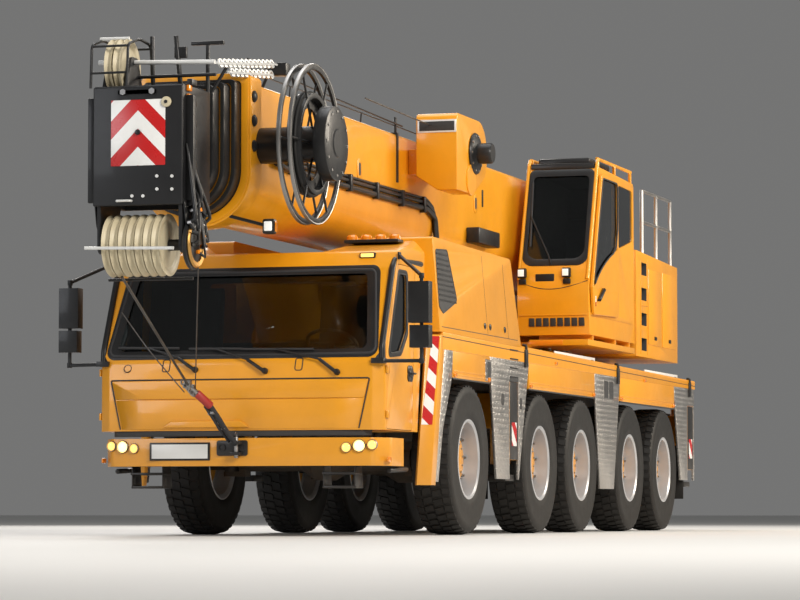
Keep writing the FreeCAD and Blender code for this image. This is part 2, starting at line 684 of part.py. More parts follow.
def boom_collar(index, x0, x1, width):
    """Collar standing proud round the front end of a section."""
    half, bottom, top = boom_section(index)
    outer = ((half + width, top + width * 0.5, 40), (half + width, bottom - width, (half + width) * 0.93),
             (-half - width, bottom - width, (half + width) * 0.93), (-half - width, top + width * 0.5, 40))
    return cut(front_prism(outer, x0, x1), front_prism(boom_outline(index, BOOM_WALL), x0, x1))


def slide_pads(index):
    """Pads inside the front end of a section, on which the next section slides."""
    front = section_front(index)
    length = 120
    between = cut(front_prism(boom_outline(index, BOOM_WALL), front - length, front - 20),
                  front_prism(boom_outline(index + 1, -SEAT), front - length - 1, front))
    half, bottom, top = boom_section(index)
    reach = half * 0.6
    upper = between.common(box(front - length, front, -reach, reach, top - 60, top))
    lower = between.common(box(front - length, front, -reach, reach, bottom, bottom + half * 0.35))
    return upper.Solids + lower.Solids


def section_front(index):
    return COLLAR_FRONT_X + index * SECTION_STEP


def section_rear(index):
    return BOOM_REAR_X + 500 + index * 120


def welded_plates(body, index):
    """The body cut lengthwise into the top, side and belly plates that it is welded from."""
    half, bottom, top = boom_section(index)
    wide = BOOM_HALF + 300
    low, crown, belly = bottom + half * 0.93, top - 60, half * 0.46
    rows = ((-wide, wide, crown, top + 300), (0, wide, low, crown), (-wide, 0, low, crown),
            (belly, wide, 0, low), (-belly, belly, 0, low), (-wide, -belly, 0, low))
    return [body.common(box(BOOM_REAR_X - 1, FRONT_END, y0, y1, z0, z1)) for y0, y1, z0, z1 in rows]


def build_boom():
    boss_end = PLATE_INNER - 6
    boss = rod((PIVOT_X, -boss_end, PIVOT_Z), (PIVOT_X, boss_end, PIVOT_Z), PIVOT_R + 70)
    hole = rod((PIVOT_X, -PLATE_INNER, PIVOT_Z), (PIVOT_X, PLATE_INNER, PIVOT_Z), PIVOT_R + PIN_PLAY)
    seat = rod((PIVOT_X, -PLATE_INNER, PIVOT_Z), (PIVOT_X, PLATE_INNER, PIVOT_Z), PIVOT_R + 70 + SEAT)
    form = front_prism(boom_outline(0, -SEAT), BOOM_REAR_X, COLLAR_FRONT_X)
    collar = cut(boom_collar(0, COLLAR_FRONT_X - COLLAR_LENGTH, COLLAR_FRONT_X, COLLAR_PROUD), form)
    solids = welded_plates(cut(boom_tube(0, BOOM_REAR_X, COLLAR_FRONT_X), seat), 0)
    solids += [collar, cut(boss, hole), *slide_pads(0)]
    for _, side in SIDES:
        y0 = side * (RAM_EYE_HALF + 6)
        y1 = side * (RAM_EYE_HALF + 66)
        lug = side_prism(((RAM_EYE[0] - 420, BOOM_BOTTOM + 40), (RAM_EYE[0] - 120, RAM_EYE[1] - 130, 90),
                          (RAM_EYE[0] + 120, RAM_EYE[1] - 130, 90), (RAM_EYE[0] + 420, BOOM_BOTTOM + 40)),
                         y0, y1)
        boss = rod((RAM_EYE[0], y1, RAM_EYE[1]), (RAM_EYE[0], y1 + side * 20, RAM_EYE[1]), RAM_PIN_R + 20)
        solids.append(cut(fuse(lug, boss), form))
    save("boom_base", *solids)
    for i in range(1, SECTIONS):
        front = section_front(i)
        band = boom_collar(i, front - SECTION_STEP + MOVE_GAP, front, 22)
        body = fuse(boom_tube(i, section_rear(i), front), band)
        save("boom_section_%d" % i, *welded_plates(body, i), *slide_pads(i))
    build_head()


def build_head():
    """Fly section with the boom head and its sheave carriers."""
    tube = boom_tube(SECTIONS, section_rear(SECTIONS), HEAD_REAR_X)
    shell = box(HEAD_REAR_X, HEAD_FRONT_X, -HEAD_HALF, HEAD_HALF, HEAD_BOTTOM, HEAD_TOP)
    inside = box(HEAD_REAR_X + 40, HEAD_FRONT_X - 40, -HEAD_HALF + 40, HEAD_HALF - 40,
                 HEAD_BOTTOM - 10, HEAD_TOP - 40)
    cheeks = [side_prism(((4250, HEAD_BOTTOM + 60), (4420, 2250, 60), (4700, 2250, 60),
                          (HEAD_FRONT_X - 20, HEAD_BOTTOM + 60)), s * 330, s * 360) for s in (1, -1)]
    slot = box(4150, 4650, -350, -190, HEAD_TOP - 60, HEAD_TOP + 1)
    jib_holes = [rod((4600, -HEAD_HALF - 1, z), (4600, HEAD_HALF + 1, z), JIB_PIN_R)
                 for z in (HEAD_BOTTOM + 130, HEAD_TOP - 130)]
    posts = [side_prism(((4200, HEAD_TOP - 40), (4330, 3850, 50), (4470, 3850, 50), (4600, HEAD_TOP - 40)),
                        y, y + 25) for y in (-400 + 25, -190)]
    pin = rod((SHEAVE_X, -360, SHEAVE_Z), (SHEAVE_X, 360, SHEAVE_Z), 45)
    top_pin = rod((4400, -375, 3770), (4400, -165, 3770), 35)
    head = fuse(cut(shell, inside, slot, *jib_holes), *cheeks, *posts, pin, top_pin)
    save("boom_fly", *welded_plates(tube, SECTIONS), head)
    sheaves = []
    for k in range(7):
        y = SHEAVE_MIDDLE_Y + (k - 3) * SHEAVE_PITCH
        sheaves.append(sheave(SHEAVE_X, y, SHEAVE_Z, SHEAVE_R, SHEAVE_WIDTH, 45 + SEAT))
    for k in range(2):
        sheaves.append(sheave(4400, -310 + k * 75, 3770, 235, 60, 35 + SEAT))
    save("head_sheaves", *sheaves)


def sheave(x, y, z, radius, width, bore):
    """Grooved rope sheave turned about Y."""
    half = width / 2
    # Profile as (radius, y): web, rim with its rope groove, web
    profile = ((bore, -half), (radius - 70, -half + 14), (radius - 40, -half), (radius, -half),
               (radius - 30, 0), (radius, half), (radius - 40, half), (radius - 70, half - 14), (bore, half))
    return turned_y([(r, y + v) for r, v in profile], x, z)


def build_boom_fittings():
    """Hose drum and reeving winch on the boom's left side."""
    x, z, r, thick = DRUM_X, DRUM_Z, DRUM_R, DRUM_FLANGE_THICK
    near, far = DRUM_FLANGES[0], DRUM_FLANGES[1] + thick
    rings = [cut(rod((x, y, z), (x, y + thick, z), r), rod((x, y - 1, z), (x, y + thick + 1, z), r - 45))
             for y in DRUM_FLANGES]
    core = rod((x, BOOM_HALF + COLLAR_PROUD + SEAT, z), (x, DRUM_HUB_FACE, z), 150)
    hub = rod((x, DRUM_HUB_FACE - 100, z), (x, DRUM_HUB_FACE, z), 310)
    coil = cut(rod((x, near, z), (x, far, z), 420), rod((x, near - 1, z), (x, far + 1, z), 380))
    spokes = []
    for k in range(DRUM_SPOKES):
        a = 2 * math.pi * k / DRUM_SPOKES
        tip_x, tip_z = x + (r - 20) * math.cos(a), z + (r - 20) * math.sin(a)
        for y in DRUM_FLANGES:
            spokes.append(rod((x, y + thick / 2, z), (tip_x, y + thick / 2, tip_z), thick / 2 - 2))
    save("hose_drum", fuse(core, hub, coil, *rings, *spokes))
    front, rear = WINCH_ENDS
    inner, outer = WINCH_SIDES
    low, high = WINCH_BOTTOM, WINCH_TOP
    case = side_prism(((front, low), (front, high, 60), (rear, high, 300), (rear, low + 236, 250),
                       (rear + 490, low, 200)), inner, outer)
    chamfer = front_prism(((inner - 1, low + 139), (inner - 1, low - 4), (inner + 217, low - 4)),
                          rear - 1, front + 1)
    foot = box(front - 200, rear + 150, BOOM_HALF + SEAT, inner + 13, low + 176, low + 416)
    x, z = WINCH_HUB
    flange = rod((x, outer - 20, z), (x, outer + 20, z), 175)
    hub = rod((x, outer, z), (x, WINCH_HUB_FACE, z), 90)
    case = cut(case, chamfer)
    save("reeving_winch", fuse(case, foot, hub, flange))


# Superstructure

def build_superstructure():
    turn = Part.makeCylinder(RING_R + 30, TURN_TOP - TURN_BOTTOM, V(SLEW_X, 0, TURN_BOTTOM))
    floor = box(-4850, -9350, -PLATE_INNER - PLATE_THICK, PLATE_INNER + PLATE_THICK, 1880, TURN_TOP)
    plates = []
    for _, side in SIDES:
        plate = side_prism(((-4850, 1880), (-4850, 2150), (-5500, 2450, 200), (-7500, 3500, 200),
                            (-7950, 3700, 150), (-8550, 3700, 150), (-8850, 3200, 100), (-9350, 2700),
                            (-9350, 1880)), side * PLATE_INNER, side * (PLATE_INNER + PLATE_THICK))
        plates.append(plate)
    pin = rod((PIVOT_X, -PLATE_INNER - PLATE_THICK, PIVOT_Z), (PIVOT_X, PLATE_INNER + PLATE_THICK, PIVOT_Z),
              PIVOT_R)
    foot_lugs = [side_prism(((RAM_FOOT[0] - 260, TURN_TOP - 10), (RAM_FOOT[0] - 110, RAM_FOOT[1] + 110, 80),
                             (RAM_FOOT[0] + 110, RAM_FOOT[1] + 110, 80), (RAM_FOOT[0] + 260, TURN_TOP - 10)),
                            s * (RAM_EYE_HALF + 56), s * (RAM_EYE_HALF + 106)) for s in (1, -1)]
    foot_pin = rod((RAM_FOOT[0], -RAM_EYE_HALF - 106, RAM_FOOT[1]),
                   (RAM_FOOT[0], RAM_EYE_HALF + 106, RAM_FOOT[1]), RAM_PIN_R)
    save("superstructure_frame", fuse(turn, floor, *plates, pin, *foot_lugs, foot_pin))
    build_housings()
    save("hoist_drum", *hoist())
    build_ram()


def hoist():
    drum = rod((-8900, -PLATE_INNER + SEAT, 2400), (-8900, PLATE_INNER - SEAT, 2400), 210)
    rims = [rod((-8900, s * 400, 2400), (-8900, s * 440, 2400), 300) for s in (1, -1)]
    return [fuse(drum, *rims)]


def build_housings():
    """Side housings behind the crane cab with ladder, guard rails and posts."""
    outer = PLATE_INNER + PLATE_THICK
    left = side_prism(((-6930, TURN_TOP + SEAT), (-6930, 3100), (-9020, 3040), (-9020, TURN_TOP + SEAT)),
                      outer + SEAT, 1300)
    right = box(-6400, -9020, -outer - SEAT, -1300, TURN_TOP + SEAT, 2760)
    slots = [box(-7190, -7440, 1240, 1301, 2000 + 280 * k, 2140 + 280 * k) for k in range(4)]
    posts = [rod((x, 1260, 3030), (x, 1260, 3800), 20) for x in (-7386, -8091, -8820)]
    rails = [rod((-7386, 1260, z), (-8820, 1260, z), 18) for z in (3450, 3800)]
    save("side_housings", fuse(cut(left, *slots), *posts, *rails), right)


def build_ram():
    """Lift cylinder: barrel on its foot pin, rod with the eye on the boom's pin."""
    foot, eye = V(RAM_FOOT[0], 0, RAM_FOOT[1]), V(RAM_EYE[0], 0, RAM_EYE[1])
    line = (eye - foot).normalize()

    def along(distance):
        return foot + line * distance

    body = Part.makeCylinder(RAM_BARREL_R, RAM_BARREL_LENGTH - 100, along(100), line)
    boss = rod((foot.x, -RAM_EYE_HALF - 50, foot.z), (foot.x, RAM_EYE_HALF + 50, foot.z), RAM_EYE_R)
    bore = Part.makeCylinder(RAM_ROD_R + SEAT, RAM_BARREL_LENGTH, along(180), line)
    hole = rod((foot.x, -RAM_EYE_HALF - 60, foot.z), (foot.x, RAM_EYE_HALF + 60, foot.z),
               RAM_PIN_R + PIN_PLAY)
    save("lift_cylinder_barrel", cut(fuse(body, boss), bore, hole))
    stem = Part.makeCylinder(RAM_ROD_R, (eye - foot).Length - 200 - RAM_EYE_R * 0.7, along(200), line)
    head = rod((eye.x, -RAM_EYE_HALF, eye.z), (eye.x, RAM_EYE_HALF, eye.z), RAM_EYE_R)
    save("lift_cylinder_rod", fuse(stem, head))


# Crane operator's cab

CRANE_SIDE = ((-4840, 2060), (-4790, 2400), (-4800, 2600), (-5230, 3860, 60), (-6860, 3820, 60),
              (-6890, 2060))
CRANE_SCREEN = ((1245, 2820, 80), (1235, 3790, 50), (575, 3790, 50), (565, 2820, 80))
CRANE_DOOR = ((CRANE_DOOR_FRONT, 2270, 40), (CRANE_DOOR_FRONT + 65, 2560, 80), (-5255, 3780, 60),
              (CRANE_DOOR_REAR, 3770, 60), (CRANE_DOOR_REAR, 2300, 40))
CRANE_PANE = ((-4870, 2560, 30), (-5285, 3740, 60), (CRANE_DOOR_REAR + 45, 3740, 60),
              (CRANE_DOOR_REAR + 45, 3010, 60), (-5560, 2620, 1200))
CRANE_REAR = ((-6135, 3050, 60), (-6135, 3745, 60), (-6800, 3735, 60), (-6800, 3180, 60))


def crane_body(inset):
    side = side_prism(CRANE_SIDE, CRANE_CAB_INNER + inset, CRANE_CAB_OUTER - inset, inset)
    return side


def build_crane_cab():
    shell = cut(crane_body(0), crane_body(CRANE_CAB_WALL))
    screen = front_prism(CRANE_SCREEN, -5500, -4700)
    doorway = side_prism(CRANE_DOOR, CRANE_CAB_OUTER - 200, CRANE_CAB_OUTER + 10, 30)
    rear_window = side_prism(CRANE_REAR, CRANE_CAB_OUTER - 200, CRANE_CAB_OUTER + 10)
    step = box(-4600, -6720, 700, 1330, 1940, 2000)
    bearers = [box(x - 60, x, 700, 1280, 1990, 2070) for x in (-5000, -6000, -6650)]
    arms = [box(x - 60, x, PLATE_INNER + PLATE_THICK + SEAT, 800, 1940, 2000) for x in (-5000, -6000)]
    body = cut(shell, screen, doorway, rear_window)
    rails = [box(CRANE_DOOR_FRONT + 40, -6780, CRANE_CAB_OUTER - 1, CRANE_CAB_OUTER + 6 - SEAT, z, z + 30)
             for z in (2265,)]
    save("crane_cab", fuse(body, step, *bearers, *arms, *rails))
    layer = cut(crane_body(12), crane_body(12 + GLASS_THICK))
    screen_pane = layer.common(front_prism(CRANE_SCREEN, -5500, -4700, SEAT))
    rear_pane = layer.common(side_prism(CRANE_REAR, CRANE_CAB_OUTER - 30, CRANE_CAB_OUTER + 10, SEAT))
    save("crane_cab_glass", *screen_pane.Solids, *rear_pane.Solids)
    y0 = CRANE_CAB_OUTER + 6
    y1 = y0 + CRANE_DOOR_THICK
    leaf = cut(side_prism(CRANE_DOOR, y0, y1), side_prism(CRANE_PANE, y0 - 1, y1 + 1))
    pane = side_prism(CRANE_PANE, y0 + 12, y0 + 12 + GLASS_THICK, SEAT)
    save("crane_cab_door", leaf, pane)
    floor = 2060 + CRANE_CAB_WALL + SEAT
    y = (CRANE_CAB_INNER + CRANE_CAB_OUTER) / 2
    seat = fuse(box(-5750, -6250, y - 240, y + 240, 2520, 2640),
                side_prism(((-6120, 2600), (-6250, 2600), (-6400, 3400, 50), (-6270, 3400, 50)),
                           y - 220, y + 220),
                box(-5850, -6150, y - 160, y + 160, floor, 2530))
    console = box(-5000, -5150, y - 200, y + 200, floor, 2700)
    save("crane_cab_interior", seat, console)
    build_crane_guards()


def build_crane_guards():
    """Guard rails along both edges of the cab's roof, each on three posts."""
    roof = crane_body(-SEAT)
    rails = []
    for y in (CRANE_CAB_INNER + 25, CRANE_CAB_OUTER - 25):
        bar = rod((-5280, y, GUARD_Z), (-6820, y, GUARD_Z), GUARD_R)
        posts = [rod((x, y, 3700), (x, y, GUARD_Z), GUARD_R) for x in (-5310, -6050, -6790)]
        rails.append(cut(fuse(bar, *posts), roof))
    save("crane_cab_guards", *rails)


def build_mirrors():
    """Mirror heads and arms on both sides of the carrier cab."""
    heads = []
    for _, side in SIDES:
        near, far = CAB_HALF + 210, CAB_HALF + 390
        stem_y = CAB_HALF + 310
        main = box(2230, 2340, near, far, 1800, 2150)
        small = box(2230, 2340, near + 10, far, 1590, 1780)
        flange = box(1900, 1960, CAB_HALF + SEAT, CAB_HALF + 14, 2370, 2430)
        foot = box(2310, CAB_FRONT_X, CAB_HALF - 100, CAB_HALF + 12, 1460, 1505)
        arm_top = rod((1930, CAB_HALF + 8, 2400), (2280, stem_y, 2200), 16)
        arm_low = rod((2350, CAB_HALF - 15, 1480), (2280, stem_y, 1480), 16)
        stem = rod((2280, stem_y, 1480), (2280, stem_y, 2200), 16)
        knobs = [rod((2280, stem_y, z - 22), (2280, stem_y, z + 22), 22) for z in (1480, 2200)]
        head = fuse(main, small, flange, foot, arm_top, arm_low, stem, *knobs)
        heads.append(on_side(cut(head, cab_body(-SEAT)), side))
    save("mirrors", *heads)


def main():
    os.makedirs("parts", exist_ok=True)
    build_wheels()
    build_chassis()
    build_outriggers()
    build_cab()
    build_cab_interior()
    build_bumper()
    build_mirrors()
    build_engine()
    build_superstructure()
    build_crane_cab()
    build_boom()
    build_boom_fittings()


main()
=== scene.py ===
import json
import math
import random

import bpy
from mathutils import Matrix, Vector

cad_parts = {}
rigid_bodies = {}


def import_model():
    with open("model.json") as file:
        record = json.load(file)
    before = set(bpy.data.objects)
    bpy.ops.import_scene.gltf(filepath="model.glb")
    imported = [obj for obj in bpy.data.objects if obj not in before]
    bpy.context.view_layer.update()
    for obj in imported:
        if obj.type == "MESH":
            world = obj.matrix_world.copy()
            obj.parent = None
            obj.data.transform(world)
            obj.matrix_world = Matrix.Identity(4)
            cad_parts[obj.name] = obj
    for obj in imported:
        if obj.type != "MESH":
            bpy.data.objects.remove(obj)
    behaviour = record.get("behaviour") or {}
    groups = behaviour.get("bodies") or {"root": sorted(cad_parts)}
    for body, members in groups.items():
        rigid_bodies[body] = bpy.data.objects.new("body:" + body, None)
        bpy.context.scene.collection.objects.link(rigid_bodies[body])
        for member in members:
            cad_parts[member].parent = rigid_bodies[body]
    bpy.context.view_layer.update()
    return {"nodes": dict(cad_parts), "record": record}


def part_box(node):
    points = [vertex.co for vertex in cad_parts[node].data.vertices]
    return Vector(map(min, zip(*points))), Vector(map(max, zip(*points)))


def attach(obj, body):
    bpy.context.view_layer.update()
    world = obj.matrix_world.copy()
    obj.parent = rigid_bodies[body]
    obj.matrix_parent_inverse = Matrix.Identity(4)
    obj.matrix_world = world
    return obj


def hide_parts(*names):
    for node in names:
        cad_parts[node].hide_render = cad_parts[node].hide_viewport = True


bl_info = {
    "name": "Mobile crane",
    "version": (1, 0, 0),
    "blender": (4, 5, 0),
    "location": "View3D > Sidebar > Crane",
    "description": "Dresses the five-axle crane's frame with paint, glass, tyres, rigging and fittings",
    "category": "Object",
}

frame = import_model()
NODES = frame["nodes"]


def middle(node):
    low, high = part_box(node)
    return Vector([(a + b) / 2 for a, b in zip(low, high)])


# Places read from the frame, in metres; X is measured ahead of axle 1 and turned by at()
AXLE1 = middle("wheel_1_left").x
TYRE_R = middle("wheel_1_left").z
HALF_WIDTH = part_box("deck")[1][1]
SIDES = (("left", 1), ("right", -1))


def at(x, y, z):
    """Point given by its distance ahead of axle 1."""
    return Vector((AXLE1 + x, y, z))


# Selecting and finishing

def select(*objects):
    """Select only these objects and make the first one active."""
    if bpy.context.object and bpy.context.object.mode != "OBJECT":
        bpy.ops.object.mode_set(mode="OBJECT")
    bpy.ops.object.select_all(action="DESELECT")
    for obj in objects:
        obj.select_set(True)
    bpy.context.view_layer.objects.active = objects[0] if objects else None


def apply_modifier(obj, kind, **settings):
    """Add a modifier, set it up and apply it."""
    select(obj)
    mod = obj.modifiers.new(kind.title(), kind)
    for key, value in settings.items():
        setattr(mod, key, value)
    bpy.ops.object.modifier_apply(modifier=mod.name)


def soften(obj, width, segments=2, angle=35.0):
    """Bevel the sharp edges and shade the rest smooth."""
    if width:
        apply_modifier(obj, "BEVEL", width=width, segments=segments, limit_method="ANGLE",
            angle_limit=math.radians(angle), use_clamp_overlap=True, harden_normals=False)
    select(obj)
    bpy.ops.object.shade_smooth_by_angle(angle=math.radians(angle))
    return obj


def dress_with(obj, name, material):
    obj.name = name
    obj.data.name = name
    obj.data.materials.clear()
    obj.data.materials.append(surface(material))
    return obj


def joined(name, objects):
    """Join finished pieces to one object, each keeping its own materials."""
    objects = [o for o in objects if o is not None]
    select(*objects)
    if len(objects) > 1:
        bpy.ops.object.join()
    obj = bpy.context.view_layer.objects.active
    obj.name = name
    obj.data.name = name
    return obj


def copy_of(obj, matrix=None):
    """A copy with its own mesh, moved by a matrix in its mesh."""
    new = obj.copy()
    new.data = obj.data.copy()
    bpy.context.scene.collection.objects.link(new)
    if matrix is not None:
        new.data.transform(matrix)
        if matrix.is_negative:
            new.data.flip_normals()
    return new


MIRROR = Matrix.Scale(-1, 4, Vector((0, 1, 0)))


def on_side(obj, side):
    """The piece as modelled for the left, or turned to its mirror image for the right."""
    if side < 0:
        obj.data.transform(MIRROR)
        obj.data.flip_normals()
    return obj


# Shapes, modelled with operators

def block(name, low, high, material, bevel=0.004, segments=2):
    """Box between two corners with softened edges."""
    low, high = Vector(low), Vector(high)
    select()
    bpy.ops.mesh.primitive_cube_add(size=1, location=(low + high) / 2)
    obj = bpy.context.object
    obj.scale = [abs(a - b) for a, b in zip(low, high)]
    bpy.ops.object.transform_apply(location=True, rotation=True, scale=True)
    dress_with(obj, name, material)
    return soften(obj, bevel, segments)


def bar(name, start, end, radius, material, sides=20, bevel=0.0):
    """Round bar from one point to another."""
    start, end = Vector(start), Vector(end)
    select()
    bpy.ops.mesh.primitive_cylinder_add(vertices=sides, radius=radius, depth=(end - start).length,
        location=(0, 0, 0))
    obj = bpy.context.object
    turn = (end - start).to_track_quat("Z", "Y").to_matrix().to_4x4()
    obj.matrix_world = Matrix.Translation((start + end) / 2) @ turn
    bpy.ops.object.transform_apply(location=True, rotation=True, scale=True)
    dress_with(obj, name, material)
    return soften(obj, bevel, 2)


def ball(name, centre, radius, material, stretch=(1, 1, 1)):
    select()
    bpy.ops.mesh.primitive_uv_sphere_add(segments=24, ring_count=12, radius=radius, location=centre)
    obj = bpy.context.object
    obj.scale = stretch
    bpy.ops.object.transform_apply(location=True, rotation=True, scale=True)
    dress_with(obj, name, material)
    return soften(obj, 0)


def oblong(u, v, half_u, half_v, radius):
    """Corners of an upright oblong round a middle, with round corners."""
    return ((u - half_u, v - half_v, radius), (u + half_u, v - half_v, radius),
        (u + half_u, v + half_v, radius), (u - half_u, v + half_v, radius))


def rounded(corners, steps=5):
    """Corners (u, v) or (u, v, radius) as a list of points, with the round ones as arcs."""
    points = []
    count = len(corners)
    for i, corner in enumerate(corners):
        here = Vector(corner[:2])
        radius = corner[2] if len(corner) > 2 else 0
        if not radius:
            points.append(here)
            continue
        a = (Vector(corners[i - 1][:2]) - here).normalized()
        b = (Vector(corners[(i + 1) % count][:2]) - here).normalized()
        half = a.angle(b) / 2
        centre = here + (a + b).normalized() * (radius / math.sin(half))
        start = here + a * (radius / math.tan(half)) - centre
        end = here + b * (radius / math.tan(half)) - centre
        turn = start.angle_signed(end)
        for k in range(steps + 1):
            c, s = math.cos(-turn * k / steps), math.sin(-turn * k / steps)
            points.append(centre + Vector((start.x * c - start.y * s, start.x * s + start.y * c)))
    return points


PLANES = {
    "side": lambda u, v, d: Vector((AXLE1 + u, d, v)),
    "front": lambda u, v, d: Vector((AXLE1 + d, u, v)),
    "plan": lambda u, v, d: Vector((AXLE1 + u, v, d)),
}


def loop_of(points, fill):
    """A circle primitive whose vertices are set to these points."""
    select()
    bpy.ops.mesh.primitive_circle_add(vertices=len(points), radius=1, fill_type=fill)
    obj = bpy.context.object
    for vertex, point in zip(obj.data.vertices, points):
        vertex.co = point
    return obj


def facing_out(obj):
    select(obj)
    bpy.ops.object.mode_set(mode="EDIT")
    bpy.ops.mesh.select_all(action="SELECT")
    bpy.ops.mesh.remove_doubles(threshold=1e-5)
    bpy.ops.mesh.normals_make_consistent(inside=False)
    bpy.ops.object.mode_set(mode="OBJECT")
    return obj


def prism(name, corners, plane, start, end, material, bevel=0.004, segments=2):
    """Outline drawn in a plane and extruded from start to end across it."""
    place = PLANES[plane] if isinstance(plane, str) else plane
    points = [place(p.x, p.y, start) for p in rounded(corners)]
    obj = loop_of(points, "NGON")
    step = place(0, 0, end) - place(0, 0, start)
    bpy.ops.object.mode_set(mode="EDIT")
    bpy.ops.mesh.select_all(action="SELECT")
    bpy.ops.mesh.extrude_region_move(TRANSFORM_OT_translate={"value": step})
    bpy.ops.object.mode_set(mode="OBJECT")
    facing_out(obj)
    dress_with(obj, name, material)
    return soften(obj, bevel, segments)


def band(name, outer, inner, plane, start, end, material, bevel=0.0):
    """Flat ring between two outlines with as many corners, extruded from start to end."""
    place = PLANES[plane] if isinstance(plane, str) else plane
    loops = [loop_of([place(p.x, p.y, start) for p in rounded(c)], "NOTHING") for c in (outer, inner)]
    select(*loops)
    bpy.ops.object.join()
    obj = bpy.context.object
    bpy.ops.object.mode_set(mode="EDIT")
    bpy.ops.mesh.select_all(action="SELECT")
    bpy.ops.mesh.bridge_edge_loops()
    bpy.ops.mesh.select_all(action="SELECT")
    step = place(0, 0, end) - place(0, 0, start)
    bpy.ops.mesh.extrude_region_move(TRANSFORM_OT_translate={"value": step})
    bpy.ops.object.mode_set(mode="OBJECT")
    facing_out(obj)
    dress_with(obj, name, material)
    return soften(obj, bevel, 2)


def lathe(name, profile, centre, axis, material, steps=64, smooth=35.0):
    """Closed (radius, distance) profile spun about an axis through centre."""
    axis = Vector(axis).normalized()
    across = axis.orthogonal().normalized()
    centre = Vector(centre)
    obj = loop_of([centre + across * r + axis * d for r, d in profile], "NOTHING")
    bpy.ops.object.mode_set(mode="EDIT")
    bpy.ops.mesh.select_all(action="SELECT")
    bpy.ops.mesh.spin(steps=steps, angle=2 * math.pi, center=centre, axis=axis)
    bpy.ops.object.mode_set(mode="OBJECT")
    facing_out(obj)
    dress_with(obj, name, material)
    return soften(obj, 0, angle=smooth)


def round_copies(obj, count, centre, axis, start=0):
    """Copies of a piece set evenly round an axis, joined to one."""
    axis = Vector(axis)
    shift = Matrix.Translation(Vector(centre))
    made = [obj]
    for k in range(1, count):
        turn = Matrix.Rotation(2 * math.pi * k / count, 4, axis)
        made.append(copy_of(obj, shift @ turn @ shift.inverted()))
    return joined(obj.name, made)


def pipe(name, points, radius, material, bend=0.0, sides=10, resolution=4):
    """Tube through the points; bend is how far before a corner it starts to turn."""
    points = [Vector(p) for p in points]
    route = [points[0]]
    for before, here, after in zip(points, points[1:], points[2:]):
        if bend:
            a = min(bend, (before - here).length * 0.45)
            b = min(bend, (after - here).length * 0.45)
            route += [here + (before - here).normalized() * a, here, here
                + (after - here).normalized() * b]
        else:
            route.append(here)
    route.append(points[-1])
    select()
    bpy.ops.curve.primitive_nurbs_path_add()
    obj = bpy.context.object
    spline = obj.data.splines[0]
    spline.points.add(max(0, len(route) - len(spline.points)))
    while len(spline.points) > len(route):
        route.insert(1, (route[0] + route[1]) / 2)
    for point, co in zip(spline.points, route):
        point.co = (*co, 1.0)
    spline.order_u = 3
    spline.use_endpoint_u = True
    obj.data.resolution_u = resolution
    obj.data.bevel_depth = radius
    obj.data.bevel_resolution = max(1, sides // 4)
    obj.data.use_fill_caps = True
    obj.matrix_world = Matrix.Identity(4)
    select(obj)
    bpy.ops.object.convert(target="MESH")
    obj = bpy.context.object
    dress_with(obj, name, material)
    return soften(obj, 0, angle=60)


def nut(name, centre, axis, radius, height, material="bare_steel"):
    """Hexagon nut or bolt head standing on a surface."""
    centre, axis = Vector(centre), Vector(axis).normalized()
    return bar(name, centre, centre + axis * height, radius, material, sides=6, bevel=0)


def skin(node, material, bevel=0.005, segments=2, dissolve=0.5):
    """Copy of a CAD node with merged faces and softened edges, which stands for it."""
    source = NODES[node]
    obj = bpy.data.objects.new(node + "_skin", source.data.copy())
    bpy.context.scene.collection.objects.link(obj)
    select(obj)
    bpy.ops.object.mode_set(mode="EDIT")
    bpy.ops.mesh.select_all(action="SELECT")
    bpy.ops.mesh.remove_doubles(threshold=2e-5)
    bpy.ops.mesh.dissolve_limited(angle_limit=math.radians(dissolve))
    bpy.ops.object.mode_set(mode="OBJECT")
    dress_with(obj, node + "_skin", material)
    soften(obj, bevel, segments, angle=30)
    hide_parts(node)
    return obj


def body_of(node):
    for body, nodes in frame["record"]["behaviour"]["bodies"].items():
        if node in nodes:
            return body
    raise RuntimeError("no body holds " + node)


def mount(obj, body, slot):
    """Let a finished piece ride on a body; the slot argument is not used."""
    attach(obj, body)
    return obj


def fit(name, pieces, body, slot):
    """Join pieces and let them ride on a body."""
    return mount(joined(name, pieces), body, slot)


# Materials

def put(tree, kind, inputs=(), **settings):
    """Add a node; inputs maps sockets to values or to other nodes' outputs."""
    made = tree.nodes.new(kind)
    for key, value in settings.items():
        setattr(made, key, value)
    for key, value in dict(inputs).items():
        if isinstance(value, bpy.types.NodeSocket):
            tree.links.new(value, made.inputs[key])
        else:
            made.inputs[key].default_value = value
    return made


def start_group(name, inputs, outputs):
    """Empty shader group with named sockets; returns the tree and its two end nodes."""
    tree = bpy.data.node_groups.new(name, "ShaderNodeTree")
    for label, value in inputs:
        socket = tree.interface.new_socket(label, in_out="INPUT", socket_type="NodeSocketFloat")
        socket.default_value = value
    for label in outputs:
        tree.interface.new_socket(label, in_out="OUTPUT", socket_type="NodeSocketFloat")
    return tree, tree.nodes.new("NodeGroupInput"), tree.nodes.new("NodeGroupOutput")


def math_node(tree, operation, a, b=0.0, clamp=False):
    return put(tree, "ShaderNodeMath", {0: a, 1: b}, operation=operation, use_clamp=clamp).outputs[0]


def group_patches():
    """Soft blotches between 0 and 1, for colour and gloss variation."""
    tree, given, out = start_group("patches", [("Scale", 2.0), ("Contrast", 1.0)], ["Mask"])
    coords = put(tree, "ShaderNodeTexCoord").outputs["Object"]
    noise = put(tree, "ShaderNodeTexNoise", {"Vector": coords, "Scale": given.outputs["Scale"],
        "Detail": 6.0, "Roughness": 0.6}).outputs["Fac"]
    centred = math_node(tree, "SUBTRACT", noise, 0.5)
    scaled = math_node(tree, "MULTIPLY", centred, given.outputs["Contrast"])
    tree.links.new(math_node(tree, "ADD", scaled, 0.5, clamp=True), out.inputs["Mask"])
    return tree


